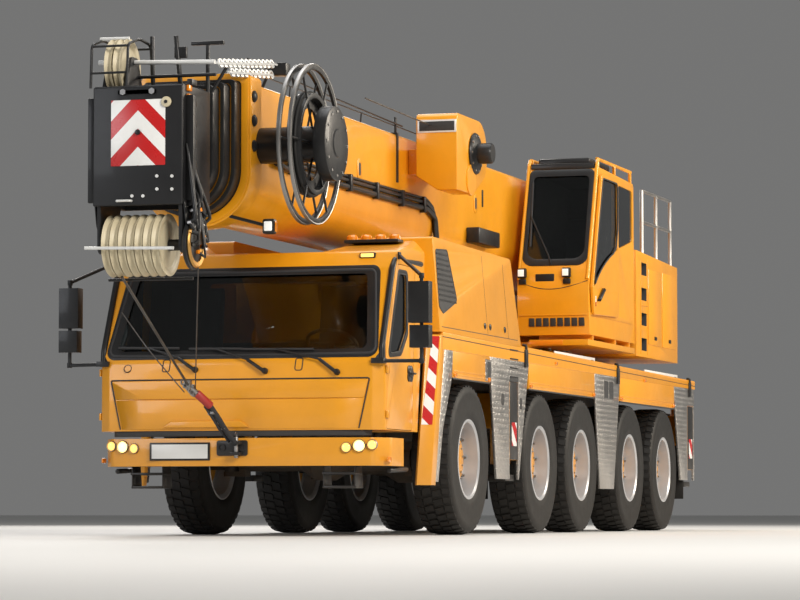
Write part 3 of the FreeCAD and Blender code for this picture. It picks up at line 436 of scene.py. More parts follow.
def group_road_dust():
    """Dust that thins out with height above the ground and breaks up in patches."""
    tree, given, out = start_group("road_dust", [("Height", 1.4), ("Amount", 0.6)], ["Mask"])
    coords = put(tree, "ShaderNodeTexCoord").outputs["Object"]
    z = put(tree, "ShaderNodeSeparateXYZ", {0: coords}).outputs["Z"]
    low = math_node(tree, "SUBTRACT", 1.0, math_node(tree, "DIVIDE", z, given.outputs["Height"]),
        clamp=True)
    noise = put(tree, "ShaderNodeTexNoise", {"Vector": coords, "Scale": 7.0, "Detail": 8.0,
        "Roughness": 0.65}).outputs["Fac"]
    broken = math_node(tree, "MULTIPLY", low, math_node(tree, "ADD", noise, 0.25))
    tree.links.new(math_node(tree, "MULTIPLY", broken, given.outputs["Amount"], clamp=True),
        out.inputs["Mask"])
    return tree


def group_fine_grain():
    """Height of an orange-peel or cast grain."""
    tree, given, out = start_group("fine_grain", [("Scale", 300.0)], ["Height"])
    coords = put(tree, "ShaderNodeTexCoord").outputs["Object"]
    noise = put(tree, "ShaderNodeTexNoise", {"Vector": coords, "Scale": given.outputs["Scale"],
        "Detail": 3.0}).outputs["Fac"]
    tree.links.new(noise, out.inputs["Height"])
    return tree


def group_tread_bars():
    """Raised bars of chequer plate on a vertical or a lying sheet, crossed in alternate cells."""
    tree, given, out = start_group("tread_bars", [("Pitch", 0.032), ("Lying", 0.0)], ["Height"])
    coords = put(tree, "ShaderNodeTexCoord").outputs["Object"]
    xyz = put(tree, "ShaderNodeSeparateXYZ", {0: coords}).outputs
    lying = given.outputs["Lying"]
    up = math_node(tree, "ADD", math_node(tree, "MULTIPLY", xyz["Z"],
        math_node(tree, "SUBTRACT", 1.0, lying)), math_node(tree, "MULTIPLY", xyz["Y"], lying))
    u = math_node(tree, "DIVIDE", xyz["X"], given.outputs["Pitch"])
    v = math_node(tree, "DIVIDE", up, given.outputs["Pitch"])
    cell = math_node(tree, "ADD", math_node(tree, "FLOOR", u), math_node(tree, "FLOOR", v))
    odd = math_node(tree, "PINGPONG", cell, 1.0)
    fu = math_node(tree, "SUBTRACT", math_node(tree, "FRACT", u), 0.5)
    fv = math_node(tree, "SUBTRACT", math_node(tree, "FRACT", v), 0.5)
    total = math_node(tree, "ADD", fu, fv)
    differ = math_node(tree, "SUBTRACT", fu, fv)
    even = math_node(tree, "SUBTRACT", 1.0, odd)
    along = math_node(tree, "ADD", math_node(tree, "MULTIPLY", total, odd),
        math_node(tree, "MULTIPLY", differ, even))
    across = math_node(tree, "ADD", math_node(tree, "MULTIPLY", differ, odd),
        math_node(tree, "MULTIPLY", total, even))
    long_part = math_node(tree, "POWER", math_node(tree, "ABSOLUTE",
        math_node(tree, "DIVIDE", along, 0.66)), 2.0)
    wide_part = math_node(tree, "POWER", math_node(tree, "ABSOLUTE",
        math_node(tree, "DIVIDE", across, 0.24)), 2.0)
    bulge = math_node(tree, "SUBTRACT", 1.0, math_node(tree, "ADD", long_part, wide_part), clamp=True)
    tree.links.new(math_node(tree, "POWER", bulge, 0.5), out.inputs["Height"])
    return tree


def group_warning_stripes():
    """Slanting two-colour stripes that mirror at the middle's Y and lean with X."""
    tree, given, out = start_group("warning_stripes", [("Width", 0.28), ("Middle", 0.0), ("Phase", 0.0),
        ("Slope", 1.0), ("Lean", 0.0)], ["Mask"])
    coords = put(tree, "ShaderNodeTexCoord").outputs["Object"]
    xyz = put(tree, "ShaderNodeSeparateXYZ", {0: coords}).outputs
    away = math_node(tree, "ABSOLUTE", math_node(tree, "SUBTRACT", xyz["Y"], given.outputs["Middle"]))
    slant = math_node(tree, "ADD", xyz["Z"], math_node(tree, "MULTIPLY", away, given.outputs["Slope"]))
    slant = math_node(tree, "ADD", slant, math_node(tree, "MULTIPLY", xyz["X"], given.outputs["Lean"]))
    place = math_node(tree, "DIVIDE", math_node(tree, "ADD", slant, given.outputs["Phase"]),
        given.outputs["Width"])
    mask = math_node(tree, "GREATER_THAN", math_node(tree, "FRACT", place), 0.5)
    tree.links.new(mask, out.inputs["Mask"])
    return tree


GROUPS = {}
GROUP_MAKERS = {"patches": group_patches, "road_dust": group_road_dust, "fine_grain": group_fine_grain,
    "tread_bars": group_tread_bars, "warning_stripes": group_warning_stripes}


def use_group(tree, name, inputs=()):
    """Place a shared group in a material's tree."""
    if name not in GROUPS:
        GROUPS[name] = GROUP_MAKERS[name]()
    made = tree.nodes.new("ShaderNodeGroup")
    made.node_tree = GROUPS[name]
    for key, value in dict(inputs).items():
        made.inputs[key].default_value = value
    return made.outputs[0]


def mix_colour(tree, factor, a, b):
    """Colour a where the factor is 0 and b where it is 1."""
    made = put(tree, "ShaderNodeMix", data_type="RGBA")
    for key, value in ((0, factor), (6, a), (7, b)):
        if isinstance(value, bpy.types.NodeSocket):
            tree.links.new(value, made.inputs[key])
        else:
            made.inputs[key].default_value = value if key == 0 else (*value, 1.0)
    return made.outputs[2]


def mix_value(tree, factor, a, b):
    made = put(tree, "ShaderNodeMapRange", {"Value": factor, "To Min": a, "To Max": b})
    return made.outputs[0]


DUST = (0.16, 0.12, 0.08)

# Finishes: colour, second colour, roughness low and high, metallic, coat, dust, grain scale, grain depth
FINISHES = {
    "crane_yellow": ((0.80, 0.33, 0.006), (0.72, 0.28, 0.005), 0.30, 0.42, 0.0, 0.35, 0.25, 260.0, 0.0006),
    "deck_tread": ((0.70, 0.34, 0.014), (0.40, 0.21, 0.03), 0.35, 0.6, 0.0, 0.3, 0.0, 200.0, 0.0008),
    "satin_black": ((0.008, 0.008, 0.009), (0.018, 0.018, 0.018), 0.34, 0.5, 0.0, 0.1, 0.15, 300.0, 0.0005),
    "head_black": ((0.012, 0.012, 0.013), (0.02, 0.02, 0.021), 0.38, 0.52, 0.0, 0.1, 0.05, 240.0, 0.0006),
    "chassis_black": ((0.016, 0.015, 0.014), (0.045, 0.038, 0.03), 0.55, 0.75, 0.0, 0.0, 0.9, 90.0, 0.001),
    "rubber": ((0.006, 0.006, 0.006), (0.012, 0.0115, 0.011), 0.52, 0.66, 0.0, 0.0, 0.07, 220.0, 0.0008),
    "wheel_silver": ((0.56, 0.57, 0.59), (0.46, 0.47, 0.49), 0.26, 0.38, 0.45, 0.2, 0.12, 320.0, 0.0004),
    "tread_plate": ((0.62, 0.60, 0.57), (0.42, 0.40, 0.38), 0.24, 0.40, 1.0, 0.0, 0.3, 300.0, 0.0004),
    "bare_steel": ((0.42, 0.41, 0.40), (0.28, 0.27, 0.26), 0.3, 0.5, 1.0, 0.0, 0.3, 160.0, 0.0006),
    "zinc_white": ((0.72, 0.72, 0.70), (0.6, 0.6, 0.58), 0.3, 0.45, 0.2, 0.0, 0.1, 300.0, 0.0004),
    "rod_chrome": ((0.75, 0.75, 0.76), (0.6, 0.6, 0.62), 0.08, 0.16, 1.0, 0.0, 0.0, 500.0, 0.0001),
    "sheave_cream": ((0.62, 0.55, 0.38), (0.44, 0.37, 0.24), 0.35, 0.55, 0.0, 0.0, 0.1, 120.0, 0.0006),
    # Black trim, seals and interior; the same black also fills holes, slots and gaps as painted shade.
    "trim_black": ((0.018, 0.018, 0.019), (0.026, 0.026, 0.027), 0.55, 0.7, 0.0, 0.0, 0.2, 420.0, 0.0008),
    "seat_cloth": ((0.02, 0.021, 0.024), (0.035, 0.035, 0.038), 0.85, 0.95, 0.0, 0.0, 0.0, 900.0, 0.0015),
    "rope_steel": ((0.06, 0.055, 0.05), (0.16, 0.15, 0.14), 0.4, 0.6, 0.8, 0.0, 0.0, 700.0, 0.002),
    "rope_drum": ((0.16, 0.15, 0.13), (0.3, 0.28, 0.25), 0.35, 0.55, 0.9, 0.0, 0.0, 200.0, 0.001),
    "hook_red": ((0.42, 0.02, 0.015), (0.3, 0.02, 0.015), 0.35, 0.5, 0.0, 0.2, 0.1, 200.0, 0.0008),
    "plate_white": ((0.78, 0.78, 0.76), (0.7, 0.7, 0.68), 0.35, 0.45, 0.0, 0.2, 0.2, 300.0, 0.0002),
    "brass": ((0.62, 0.36, 0.10), (0.4, 0.22, 0.07), 0.3, 0.45, 1.0, 0.0, 0.1, 200.0, 0.0006),
    "cast_grey": ((0.09, 0.09, 0.09), (0.05, 0.05, 0.05), 0.5, 0.7, 0.3, 0.0, 0.5, 140.0, 0.0015),
    "lamp_red": ((0.45, 0.01, 0.008), (0.4, 0.01, 0.008), 0.12, 0.2, 0.0, 0.5, 0.0, 300.0, 0.0002),
    "lamp_amber": ((0.8, 0.25, 0.01), (0.75, 0.22, 0.01), 0.12, 0.2, 0.0, 0.5, 0.0, 300.0, 0.0002),
}
GLOWS = {"lamp_lit": ((1.0, 0.66, 0.20), 4.0), "lamp_warm": ((1.0, 0.55, 0.14), 1.5),
    "lamp_white": ((0.9, 0.9, 0.86), 0.3)}
GLASSES = {"window_tint": (0.34, 0.37, 0.37)}
STRIPES = {"chevron_board": (0.29, 0.0, 0.245, 1.0, 0.0), "post_stripes": (0.235, 4.0, 0.0, -1.2, 0.0),
    "end_stripes": (0.28, 4.0, 0.1, 0.0, -1.0)}


def new_material(name):
    made = bpy.data.materials.new(name)
    made.use_nodes = True
    return made, made.node_tree, made.node_tree.nodes["Principled BSDF"]


def painted(name, values):
    """Opaque finish with patches, road dust and a fine grain."""
    colour, second, smooth, rough, metal, coat, dust, grain, depth = values
    if name in ("crane_yellow", "head_black"):
        colour = tuple(colours().body_paint if name == "crane_yellow" else colours().head_paint)
        second = tuple(c * 0.85 for c in colour)
    made, tree, shader = new_material(name)
    patches = use_group(tree, "patches", {"Scale": 3.1, "Contrast": 1.6})
    shade = mix_colour(tree, patches, colour, second)
    gloss = mix_value(tree, use_group(tree, "patches", {"Scale": 11.0, "Contrast": 1.4}), smooth, rough)
    if dust:
        mask = use_group(tree, "road_dust", {"Height": 1.5, "Amount": dust})
        shade = mix_colour(tree, mask, shade, DUST)
        gloss = math_node(tree, "ADD", gloss, math_node(tree, "MULTIPLY", mask, 0.5), clamp=True)
    height = use_group(tree, "fine_grain", {"Scale": grain})
    bump = put(tree, "ShaderNodeBump", {"Height": height, "Distance": depth, "Strength": 0.5})
    normal = bump.outputs[0]
    if name in ("tread_plate", "deck_tread"):
        bars = use_group(tree, "tread_bars", {"Pitch": 0.052, "Lying": 1.0
            if name == "deck_tread" else 0.0})
        normal = put(tree, "ShaderNodeBump", {"Height": bars, "Distance": 0.006, "Strength": 1.0,
            "Normal": normal}).outputs[0]
    tree.links.new(shade, shader.inputs["Base Color"])
    tree.links.new(gloss, shader.inputs["Roughness"])
    tree.links.new(normal, shader.inputs["Normal"])
    shader.inputs["Metallic"].default_value = metal
    if name in ("rubber", "satin_black", "head_black"):
        shader.inputs["Specular IOR Level"].default_value = 0.3
    shader.inputs["Coat Weight"].default_value = coat
    shader.inputs["Coat Roughness"].default_value = 0.08
    return made


def striped(name, width, middle_y, phase, slope, lean):
    """Reflective red and white board."""
    made, tree, shader = new_material(name)
    mask = use_group(tree, "warning_stripes", {"Width": width, "Middle": middle_y, "Phase": phase,
        "Slope": slope, "Lean": lean})
    patches = use_group(tree, "patches", {"Scale": 6.0, "Contrast": 1.2})
    paint = tuple(colours().board_red)
    red = mix_colour(tree, patches, paint, tuple(c * 0.8 for c in paint))
    white = mix_colour(tree, patches, (0.82, 0.82, 0.80), (0.68, 0.68, 0.66))
    tree.links.new(mix_colour(tree, mask, white, red), shader.inputs["Base Color"])
    gloss = mix_value(tree, patches, 0.22, 0.34)
    tree.links.new(gloss, shader.inputs["Roughness"])
    return made


def glazed(name, tint):
    made, tree, shader = new_material(name)
    shader.inputs["Base Color"].default_value = (*tint, 1.0)
    shader.inputs["Transmission Weight"].default_value = 1.0
    shader.inputs["IOR"].default_value = 1.45
    patches = use_group(tree, "patches", {"Scale": 4.0, "Contrast": 1.0})
    tree.links.new(mix_value(tree, patches, 0.0, 0.05), shader.inputs["Roughness"])
    return made


def glowing(name, colour, strength):
    made, tree, shader = new_material(name)
    shader.inputs["Base Color"].default_value = (*colour, 1.0)
    patches = use_group(tree, "patches", {"Scale": 60.0, "Contrast": 1.0})
    tree.links.new(mix_colour(tree, patches, colour, [c * 0.8 for c in colour]),
        shader.inputs["Emission Color"])
    shader.inputs["Emission Strength"].default_value = strength
    shader.inputs["Roughness"].default_value = 0.15
    return made


def surface(name):
    """The material of that name, made when it is first asked for."""
    if name in bpy.data.materials:
        return bpy.data.materials[name]
    if name in FINISHES:
        return painted(name, FINISHES[name])
    if name in GLOWS:
        return glowing(name, *GLOWS[name])
    if name in GLASSES:
        return glazed(name, GLASSES[name])
    return striped(name, *STRIPES[name])


# Reworking copies of the frame's nodes

def cut_at(obj, *planes):
    """Score the surface along planes given as (point, normal), so that faces can be told apart."""
    select(obj)
    bpy.ops.object.mode_set(mode="EDIT")
    for point, normal in planes:
        bpy.ops.mesh.select_all(action="SELECT")
        bpy.ops.mesh.bisect(plane_co=point, plane_no=normal)
    bpy.ops.object.mode_set(mode="OBJECT")
    return obj


def trim(obj, point, normal):
    """Cut away what lies beyond the plane on its normal's side, and close the cut."""
    select(obj)
    bpy.ops.object.mode_set(mode="EDIT")
    bpy.ops.mesh.select_all(action="SELECT")
    bpy.ops.mesh.bisect(plane_co=point, plane_no=normal, use_fill=True, clear_outer=True)
    bpy.ops.object.mode_set(mode="OBJECT")
    return obj


def repaint(obj, material, test):
    """Give the faces whose middle and normal pass the test another material."""
    if material not in [m.name for m in obj.data.materials]:
        obj.data.materials.append(surface(material))
    index = [m.name for m in obj.data.materials].index(material)
    for face in obj.data.polygons:
        if test(face.center, face.normal):
            face.material_index = index
    return obj


def loose_parts(node):
    """The node's separate solids as objects of their own, the largest first."""
    obj = bpy.data.objects.new(node + "_part", NODES[node].data.copy())
    bpy.context.scene.collection.objects.link(obj)
    select(obj)
    bpy.ops.object.mode_set(mode="EDIT")
    bpy.ops.mesh.select_all(action="SELECT")
    bpy.ops.mesh.remove_doubles(threshold=2e-5)
    bpy.ops.mesh.dissolve_limited(angle_limit=math.radians(0.5))
    bpy.ops.mesh.separate(type="LOOSE")
    bpy.ops.object.mode_set(mode="OBJECT")
    parts = list(bpy.context.selected_objects)

    def spread(part):
        low = [min(v.co[i] for v in part.data.vertices) for i in range(3)]
        high = [max(v.co[i] for v in part.data.vertices) for i in range(3)]
        return -math.dist(low, high)

    return sorted(parts, key=spread)


def seal(name, outline, place, radius, material="trim_black"):
    """Rubber bead that runs round a closed outline; place(u, v) puts a corner on the surface."""
    corners = rounded(outline, steps=4)
    first = (corners[0] + corners[-1]) / 2
    route = [first] + corners + [first]
    return pipe(name, [place(p.x, p.y) for p in route], radius, material, sides=8, resolution=2)


def interpolate(rows, value):
    """Value between the rows (place, value) of a table with rising places."""
    for (p0, v0), (p1, v1) in zip(rows, rows[1:]):
        if value <= p1:
            return v0 + (v1 - v0) * max(0.0, (value - p0) / (p1 - p0))
    return rows[-1][1]


# User settings

class CRANE_PG_sizes(bpy.types.PropertyGroup):
    tread_pitches: bpy.props.IntProperty(name="Tread pitches", description="Tread pitches round a tyre",
        default=46, min=20, max=80)
    tread_depth: bpy.props.FloatProperty(name="Tread depth", description="Height of the tread blocks",
        default=0.013, unit="LENGTH", subtype="DISTANCE")
    rope_radius: bpy.props.FloatProperty(name="Rope radius", description="Radius of the hoist rope",
        default=0.011, unit="LENGTH", subtype="DISTANCE")
    light_power: bpy.props.FloatProperty(name="Light power", description="Strength of the studio lights",
        default=1.0, min=0.0, subtype="FACTOR", soft_max=3.0)


class CRANE_PG_colours(bpy.types.PropertyGroup):
    body_paint: bpy.props.FloatVectorProperty(name="Body paint", description="Main paint of the crane",
        default=(0.80, 0.33, 0.006), subtype="COLOR", min=0, max=1)
    head_paint: bpy.props.FloatVectorProperty(name="Head paint", description="Paint of the boom head",
        default=(0.012, 0.012, 0.013), subtype="COLOR", min=0, max=1)
    board_red: bpy.props.FloatVectorProperty(name="Board red", description="Red of the warning boards",
        default=(0.52, 0.012, 0.012), subtype="COLOR", min=0, max=1)
    floor: bpy.props.FloatVectorProperty(name="Floor", description="Colour of the studio floor",
        default=(0.62, 0.62, 0.61), subtype="COLOR", min=0, max=1)


def sizes():
    return bpy.context.scene.crane_sizes


def colours():
    return bpy.context.scene.crane_colours


# Wheels

TYRE_PROFILE = ((0.335, -0.150), (0.372, -0.176), (0.440, -0.186), (0.452, -0.1845), (0.520, -0.1875),
    (0.588, -0.1855), (0.600, -0.188), (0.645, -0.176), (0.664, -0.158), (0.670, -0.120), (0.672, 0.0),
    (0.670, 0.120), (0.664, 0.158), (0.645, 0.176), (0.600, 0.188), (0.588, 0.1855), (0.520, 0.1875),
    (0.452, 0.1845), (0.440, 0.186), (0.372, 0.176), (0.335, 0.150))
RIM_PROFILE = ((0.352, 0.150), (0.364, 0.160), (0.364, 0.174), (0.348, 0.177), (0.333, 0.163),
    (0.329, 0.080), (0.327, 0.028), (0.320, 0.0095), (0.205, 0.0095), (0.205, -0.015), (0.318, -0.018),
    (0.318, -0.150), (0.336, -0.166), (0.350, -0.176), (0.364, -0.172), (0.360, -0.150), (0.345, -0.130),
    (0.340, 0.120))
HUB_PROFILE = ((0.0, -0.030), (0.222, -0.030), (0.224, 0.030), (0.214, 0.050), (0.192, 0.066),
    (0.085, 0.070), (0.080, 0.078), (0.0, 0.079))
# Tread blocks: start and end across the tread, share of the pitch, length as share of a pitch, skew
TREAD_ROWS = ((-0.168, -0.098, 0.0, 0.60, 0.10), (-0.086, -0.006, 0.5, 0.66, -0.22),
    (0.006, 0.086, 0.0, 0.66, -0.22), (0.098, 0.168, 0.5, 0.60, 0.10))


def tread_block(centre, start, end, phase, length, skew):
    """One tread block on the tyre's crown, drawn round the wheel's axle."""
    pitch = 2 * math.pi * TYRE_R / sizes().tread_pitches
    top, foot = TYRE_R - 0.0005, TYRE_R - sizes().tread_depth - 0.006
    lean = skew * pitch

    def place(u, v, d):
        turn = (u + lean * v / 0.08 + phase * pitch) / TYRE_R
        drop = max(0.0, abs(v) - 0.120) * 0.35
        radius = d - drop
        return centre + Vector((radius * math.sin(turn), v, radius * math.cos(turn)))

    half = pitch * length / 2
    return prism("tread_block", ((-half, start), (half, start), (half, end), (-half, end)), place, foot,
        top, "rubber", bevel=0.0)


def left_wheel(centre):
    """Tyre with its tread, disc rim, hub and nuts of a left wheel."""
    across = Vector((0, 1, 0))
    tyre = lathe("tyre", TYRE_PROFILE, centre, across, "rubber", steps=96)
    rows = [round_copies(tread_block(centre, *row), sizes().tread_pitches, centre, across)
        for row in TREAD_ROWS]
    rim = lathe("rim", RIM_PROFILE, centre, across, "wheel_silver", steps=96)
    # The hub takes the yellow body paint: a painted reflection of warm yellow light on the silver hub.
    hub = lathe("hub", HUB_PROFILE, centre, across, "crane_yellow", steps=48)
    face = centre + Vector((0.275, 0.009, 0))
    stud = joined("nuts", [nut("nuts", face, across, 0.020, 0.038), bar("stud", face,
        face + across * 0.058, 0.011, "bare_steel", 12)])
    nuts = round_copies(stud, 10, centre, across)
    bolt = nut("hub_bolts", centre + Vector((0.150, 0.066, 0)), across, 0.010, 0.010)
    bolts = round_copies(bolt, 12, centre, across)
    # The vent holes are thin black discs on the rim: painted shade for the dark inside of the holes.
    hole = bar("vent", centre + Vector((0.252, 0.0085, 0)), centre + Vector((0.252, 0.0110, 0)), 0.018,
        "trim_black", 20)
    holes = round_copies(hole, 10, centre, across)
    holes.data.transform(Matrix.Translation(centre) @ Matrix.Rotation(math.pi / 10, 4, "Y")
        @ Matrix.Translation(-centre))
    valve = pipe("valve", (centre + Vector((0, 0.008, 0.30)), centre + Vector((0, 0.05, 0.305)),
        centre + Vector((0, 0.09, 0.318))), 0.006, "brass")
    return joined("tyre", [tyre] + rows), joined("rim", [rim, hub, nuts, bolts, holes, valve])


class CRANE_OT_wheels(bpy.types.Operator):
    """Ten tyred disc wheels, modelled once and copied"""
    bl_idname = "crane.wheels"
    bl_label = "Wheels"

    def execute(self, context):
        first = middle("wheel_1_left")
        tyre, rim = left_wheel(first)
        for number in range(1, 6):
            for side_name, side in SIDES:
                label = "%d_%s" % (number, side_name)
                node = "wheel_" + label
                shift = Matrix.Translation(Vector((middle(node).x - first.x, 0, 0)))
                spin = Matrix.Translation(first) @ Matrix.Rotation(0.7 * number, 4,
                    "Y") @ Matrix.Translation(-first)
                for source, slot in ((tyre, "tyre_rubber"), (rim, "tyre_rubber")):
                    made = on_side(copy_of(source, shift @ spin), side)
                    made.name = source.name + "_" + label
                    made.data.name = made.name
                    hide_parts(node)
                    mount(made, body_of(node), slot)
        for spare in (tyre, rim):
            bpy.data.objects.remove(spare)
        return {"FINISHED"}


# Carrier cab

CAB_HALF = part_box("carrier_cab")[1][1]
CAB_FRONT_ROWS = ((0.90, 2.400), (1.40, 2.400), (1.53, 2.350), (2.30, 2.000), (2.45, 1.900))
CAB_PLAN_ROWS = ((0.0, 2.400), (0.85, 2.400), (CAB_HALF - 0.100, 2.375), (CAB_HALF, 2.310))


def cab_x(y, z):
    """Front surface of the carrier cab, ahead of axle 1, at that width and height."""
    return min(interpolate(CAB_FRONT_ROWS, z), interpolate(CAB_PLAN_ROWS, abs(y)))


def on_cab_front(proud):
    return lambda y, z: at(cab_x(y, z) + proud, y, z)


def cab_skin(y, z, proud):
    return at(cab_x(y, z) + proud, y, z)


SCREEN_EDGE = ((1.215, 1.545, 0.06), (1.110, 2.280, 0.06), (-1.110, 2.280, 0.06), (-1.215, 1.545, 0.06))
FRAME_EDGE = ((1.238, 1.515, 0.08), (1.150, 2.322, 0.08), (-1.150, 2.322, 0.08), (-1.238, 1.515, 0.08))
GLASS_EDGE = ((1.130, 1.590, 0.05), (1.040, 2.248, 0.05), (-1.040, 2.248, 0.05), (-1.130, 1.590, 0.05))
REAR_EDGE = ((0.70, 1.70, 0.06), (0.70, 2.25, 0.06), (-0.70, 2.25, 0.06), (-0.70, 1.70, 0.06))
PANE_EDGE = ((2.215, 1.545, 0.04), (1.925, 2.250, 0.05), (1.700, 2.250, 0.06), (1.700, 1.760, 0.08),
    (1.880, 1.580, 0.12))
PANE_FRAME = ((2.252, 1.512, 0.05), (1.942, 2.286, 0.06), (1.660, 2.286, 0.07), (1.660, 1.735, 0.10),
    (1.862, 1.540, 0.14))
# Wipers: pivot, where the arm meets the screen's foot, and the blade's two ends, as (y, z)
WIPERS = (((-0.391, 1.421), (-0.560, 1.530), (-1.125, 1.622), (-0.563, 1.612)),
    ((0.244, 1.404), (0.080, 1.505), (-0.471, 1.606), (0.021, 1.600)),
    ((0.889, 1.388), (0.730, 1.500), (0.003, 1.596), (0.661, 1.588)))


def wiper(pivot, knee, start, end):
    """Wiper with a thick arm on a pivot in the cowl and a level blade on the screen."""
    front = on_cab_front(0.032)
    middle_place = ((start[0] + end[0]) / 2, (start[1] + end[1]) / 2)
    low = bar("wiper_elbow", front(*pivot), front(*knee), 0.015, "satin_black", 16, 0.004)
    arm = pipe("wiper_arm", (front(*pivot), front(*knee), front(*middle_place)), 0.009, "satin_black",
        bend=0.05)
    blade = bar("wiper_blade", on_cab_front(0.017)(*start), on_cab_front(0.017)(*end), 0.011,
        "trim_black", 8)
    knob = lathe("wiper_pivot", ((0, -0.01), (0.028, -0.01), (0.026, 0.022), (0.018, 0.040), (0, 0.044)),
        on_cab_front(0.0)(*pivot), (1, 0, 0.2), "satin_black", 24)
    return [low, arm, blade, knob]


class CRANE_OT_carrier_cab(bpy.types.Operator):
    """Road cab shell, glass, seals, cowl, wipers, hood panel and roof fittings"""
    bl_idname = "crane.carrier_cab"
    bl_label = "Carrier cab"

    def execute(self, context):
        shell = skin("carrier_cab", "crane_yellow", bevel=0.010, segments=3)
        cut_at(shell, (at(0, 0, 1.500), (0, 0, 1)))
        repaint(shell, "satin_black", lambda c, n: c.z > 1.5 and n.x > 0.3 and abs(c.y) > CAB_HALF - 0.13)
        repaint(shell, "trim_black", lambda c, n: c.z > 1.2 and abs(c.y) < CAB_HALF - 0.055
            and c.x < AXLE1 + 2.32 and self.faces_in(c, n))
        mount(shell, "carrier", "yellow_paint")
        glass = skin("carrier_cab_glass", "window_tint", bevel=0)
        mount(glass, "carrier", "window_glass")
        trim_pieces = [band("screen_frame", FRAME_EDGE, GLASS_EDGE, cab_skin, -0.002, 0.004,
            "satin_black", 0.002), seal("screen_seal", SCREEN_EDGE, on_cab_front(-0.002), 0.014),
            seal("rear_seal", REAR_EDGE, lambda y, z: at(1.228, y, z), 0.012)]
        for row in WIPERS:
            trim_pieces += wiper(*row)
        ring = lathe("cowl_cap", ((0.030, -0.004), (0.037, -0.004), (0.036, 0.004), (0.031, 0.004)),
            on_cab_front(0.0)(-1.016, 1.440), (1, 0, 0.38), "trim_black", 32)
        trim_pieces.append(ring)
        for y in (-0.662, 0.541):
            edge = ((y - 0.032, 1.408, 0.018), (y - 0.032, 1.512, 0.018), (y + 0.032, 1.512, 0.018),
                (y + 0.032, 1.408, 0.018))
            trim_pieces.append(seal("cowl_recess", edge, on_cab_front(0.001), 0.0045))
        for side in (1, -1):
            trim_pieces.append(pipe("corner_tube", (at(2.330, side * (CAB_HALF - 0.028), 1.470),
                at(2.318, side * (CAB_HALF - 0.028), 1.600), at(2.012, side * (CAB_HALF - 0.032), 2.290),
                at(1.930, side * (CAB_HALF - 0.030), 2.372), at(1.250, side * (CAB_HALF - 0.012), 2.372)),
                0.027, "satin_black", bend=0.07, sides=16))
        fit("cab_trim_front", trim_pieces, "carrier", "cab_trim")
        self.hood()
        self.roof()
        return {"FINISHED"}

    def hood(self):
        """Two-part hood panel with slanting sides, its dark seam and the ridge at its foot."""
        plan = ((2.300, -1.19), (2.375, -1.16), (2.404, -0.86), (2.404, 0.86), (2.375, 1.16),
            (2.300, 1.19))
        parts = []
        for name, low, high, proud in (("hood_upper", 1.172, 1.330, 0.008),
                ("hood_lower", 0.912, 1.166, 0.003)):
            outline = [(x + (proud if x > 2.35 else 0), y) for x, y in plan]
            piece = prism(name, outline, "plan", low, high, "crane_yellow", 0.005)
            for side in (1, -1):
                trim(piece, at(0, side * 1.160, 1.330), (0, side * 0.973, -0.229))
            parts.append(piece)
        ridge = prism("hood_ridge", ((-0.680, 0.925), (-0.600, 0.985, 0.02), (0.030, 0.985, 0.02),
            (0.110, 0.925)), "front", 2.395, 2.424, "crane_yellow", 0.010, 3)
        fit("hood_panels", parts + [ridge], "carrier", "yellow_paint")
        front = on_cab_front(0.003)
        route = [front(y, z) for y, z in ((-1.080, 0.915), (-1.172, 1.338), (-0.86, 1.338), (0.86, 1.338),
            (1.172, 1.338), (1.080, 0.915))]
        seam = pipe("hood_seam", route, 0.006, "trim_black", bend=0.04, sides=8)
        # The gap under the hood panels is a black slab: painted shade in the gap.
        gap = prism("hood_gap", ((2.30, -1.17), (2.362, -1.12), (2.392, -0.84), (2.392, 0.84),
            (2.362, 1.12), (2.30, 1.17)), "plan", 0.852, 0.908, "trim_black", 0.003)
        fit("hood_gaps", [seam, gap], "carrier", "cab_trim")

    def roof(self):
        """Lit marker lamps over the screen and the amber light bars behind them."""
        roof = []
        for side in (1, -1):
            lamp = block("roof_lamp", at(1.905, side * 0.945, 2.385), at(1.955, side * 1.085, 2.432),
                "satin_black", 0.008)
            lens = block("roof_lens", at(1.950, side * 0.957, 2.392), at(1.962, side * 1.073, 2.424),
                "lamp_warm", 0.005)
            roof += [lamp, lens]
            roof.append(block("bar_foot", at(1.36, side * 0.66, 2.552), at(1.52, side * 1.16, 2.582),
                "satin_black", 0.010))
            for k in range(4):
                y = 0.715 + 0.13 * k
                roof.append(lathe("beacon_lens", ((0, 0), (0.052, 0), (0.050, 0.030), (0.036, 0.046),
                    (0, 0.052)), at(1.44, side * y, 2.580), (0, 0, 1), "lamp_amber", 24))
        fit("roof_fittings", roof, "carrier", "dark_paint")

    def faces_in(self, centre, normal):
        """True on the inner walls of the shell."""
        inside = Vector((AXLE1 + 1.8, 0, 1.8))
        return (inside - centre).dot(normal) > 0.05 and abs(centre.y) < CAB_HALF - 0.04 and centre.z < 2.52


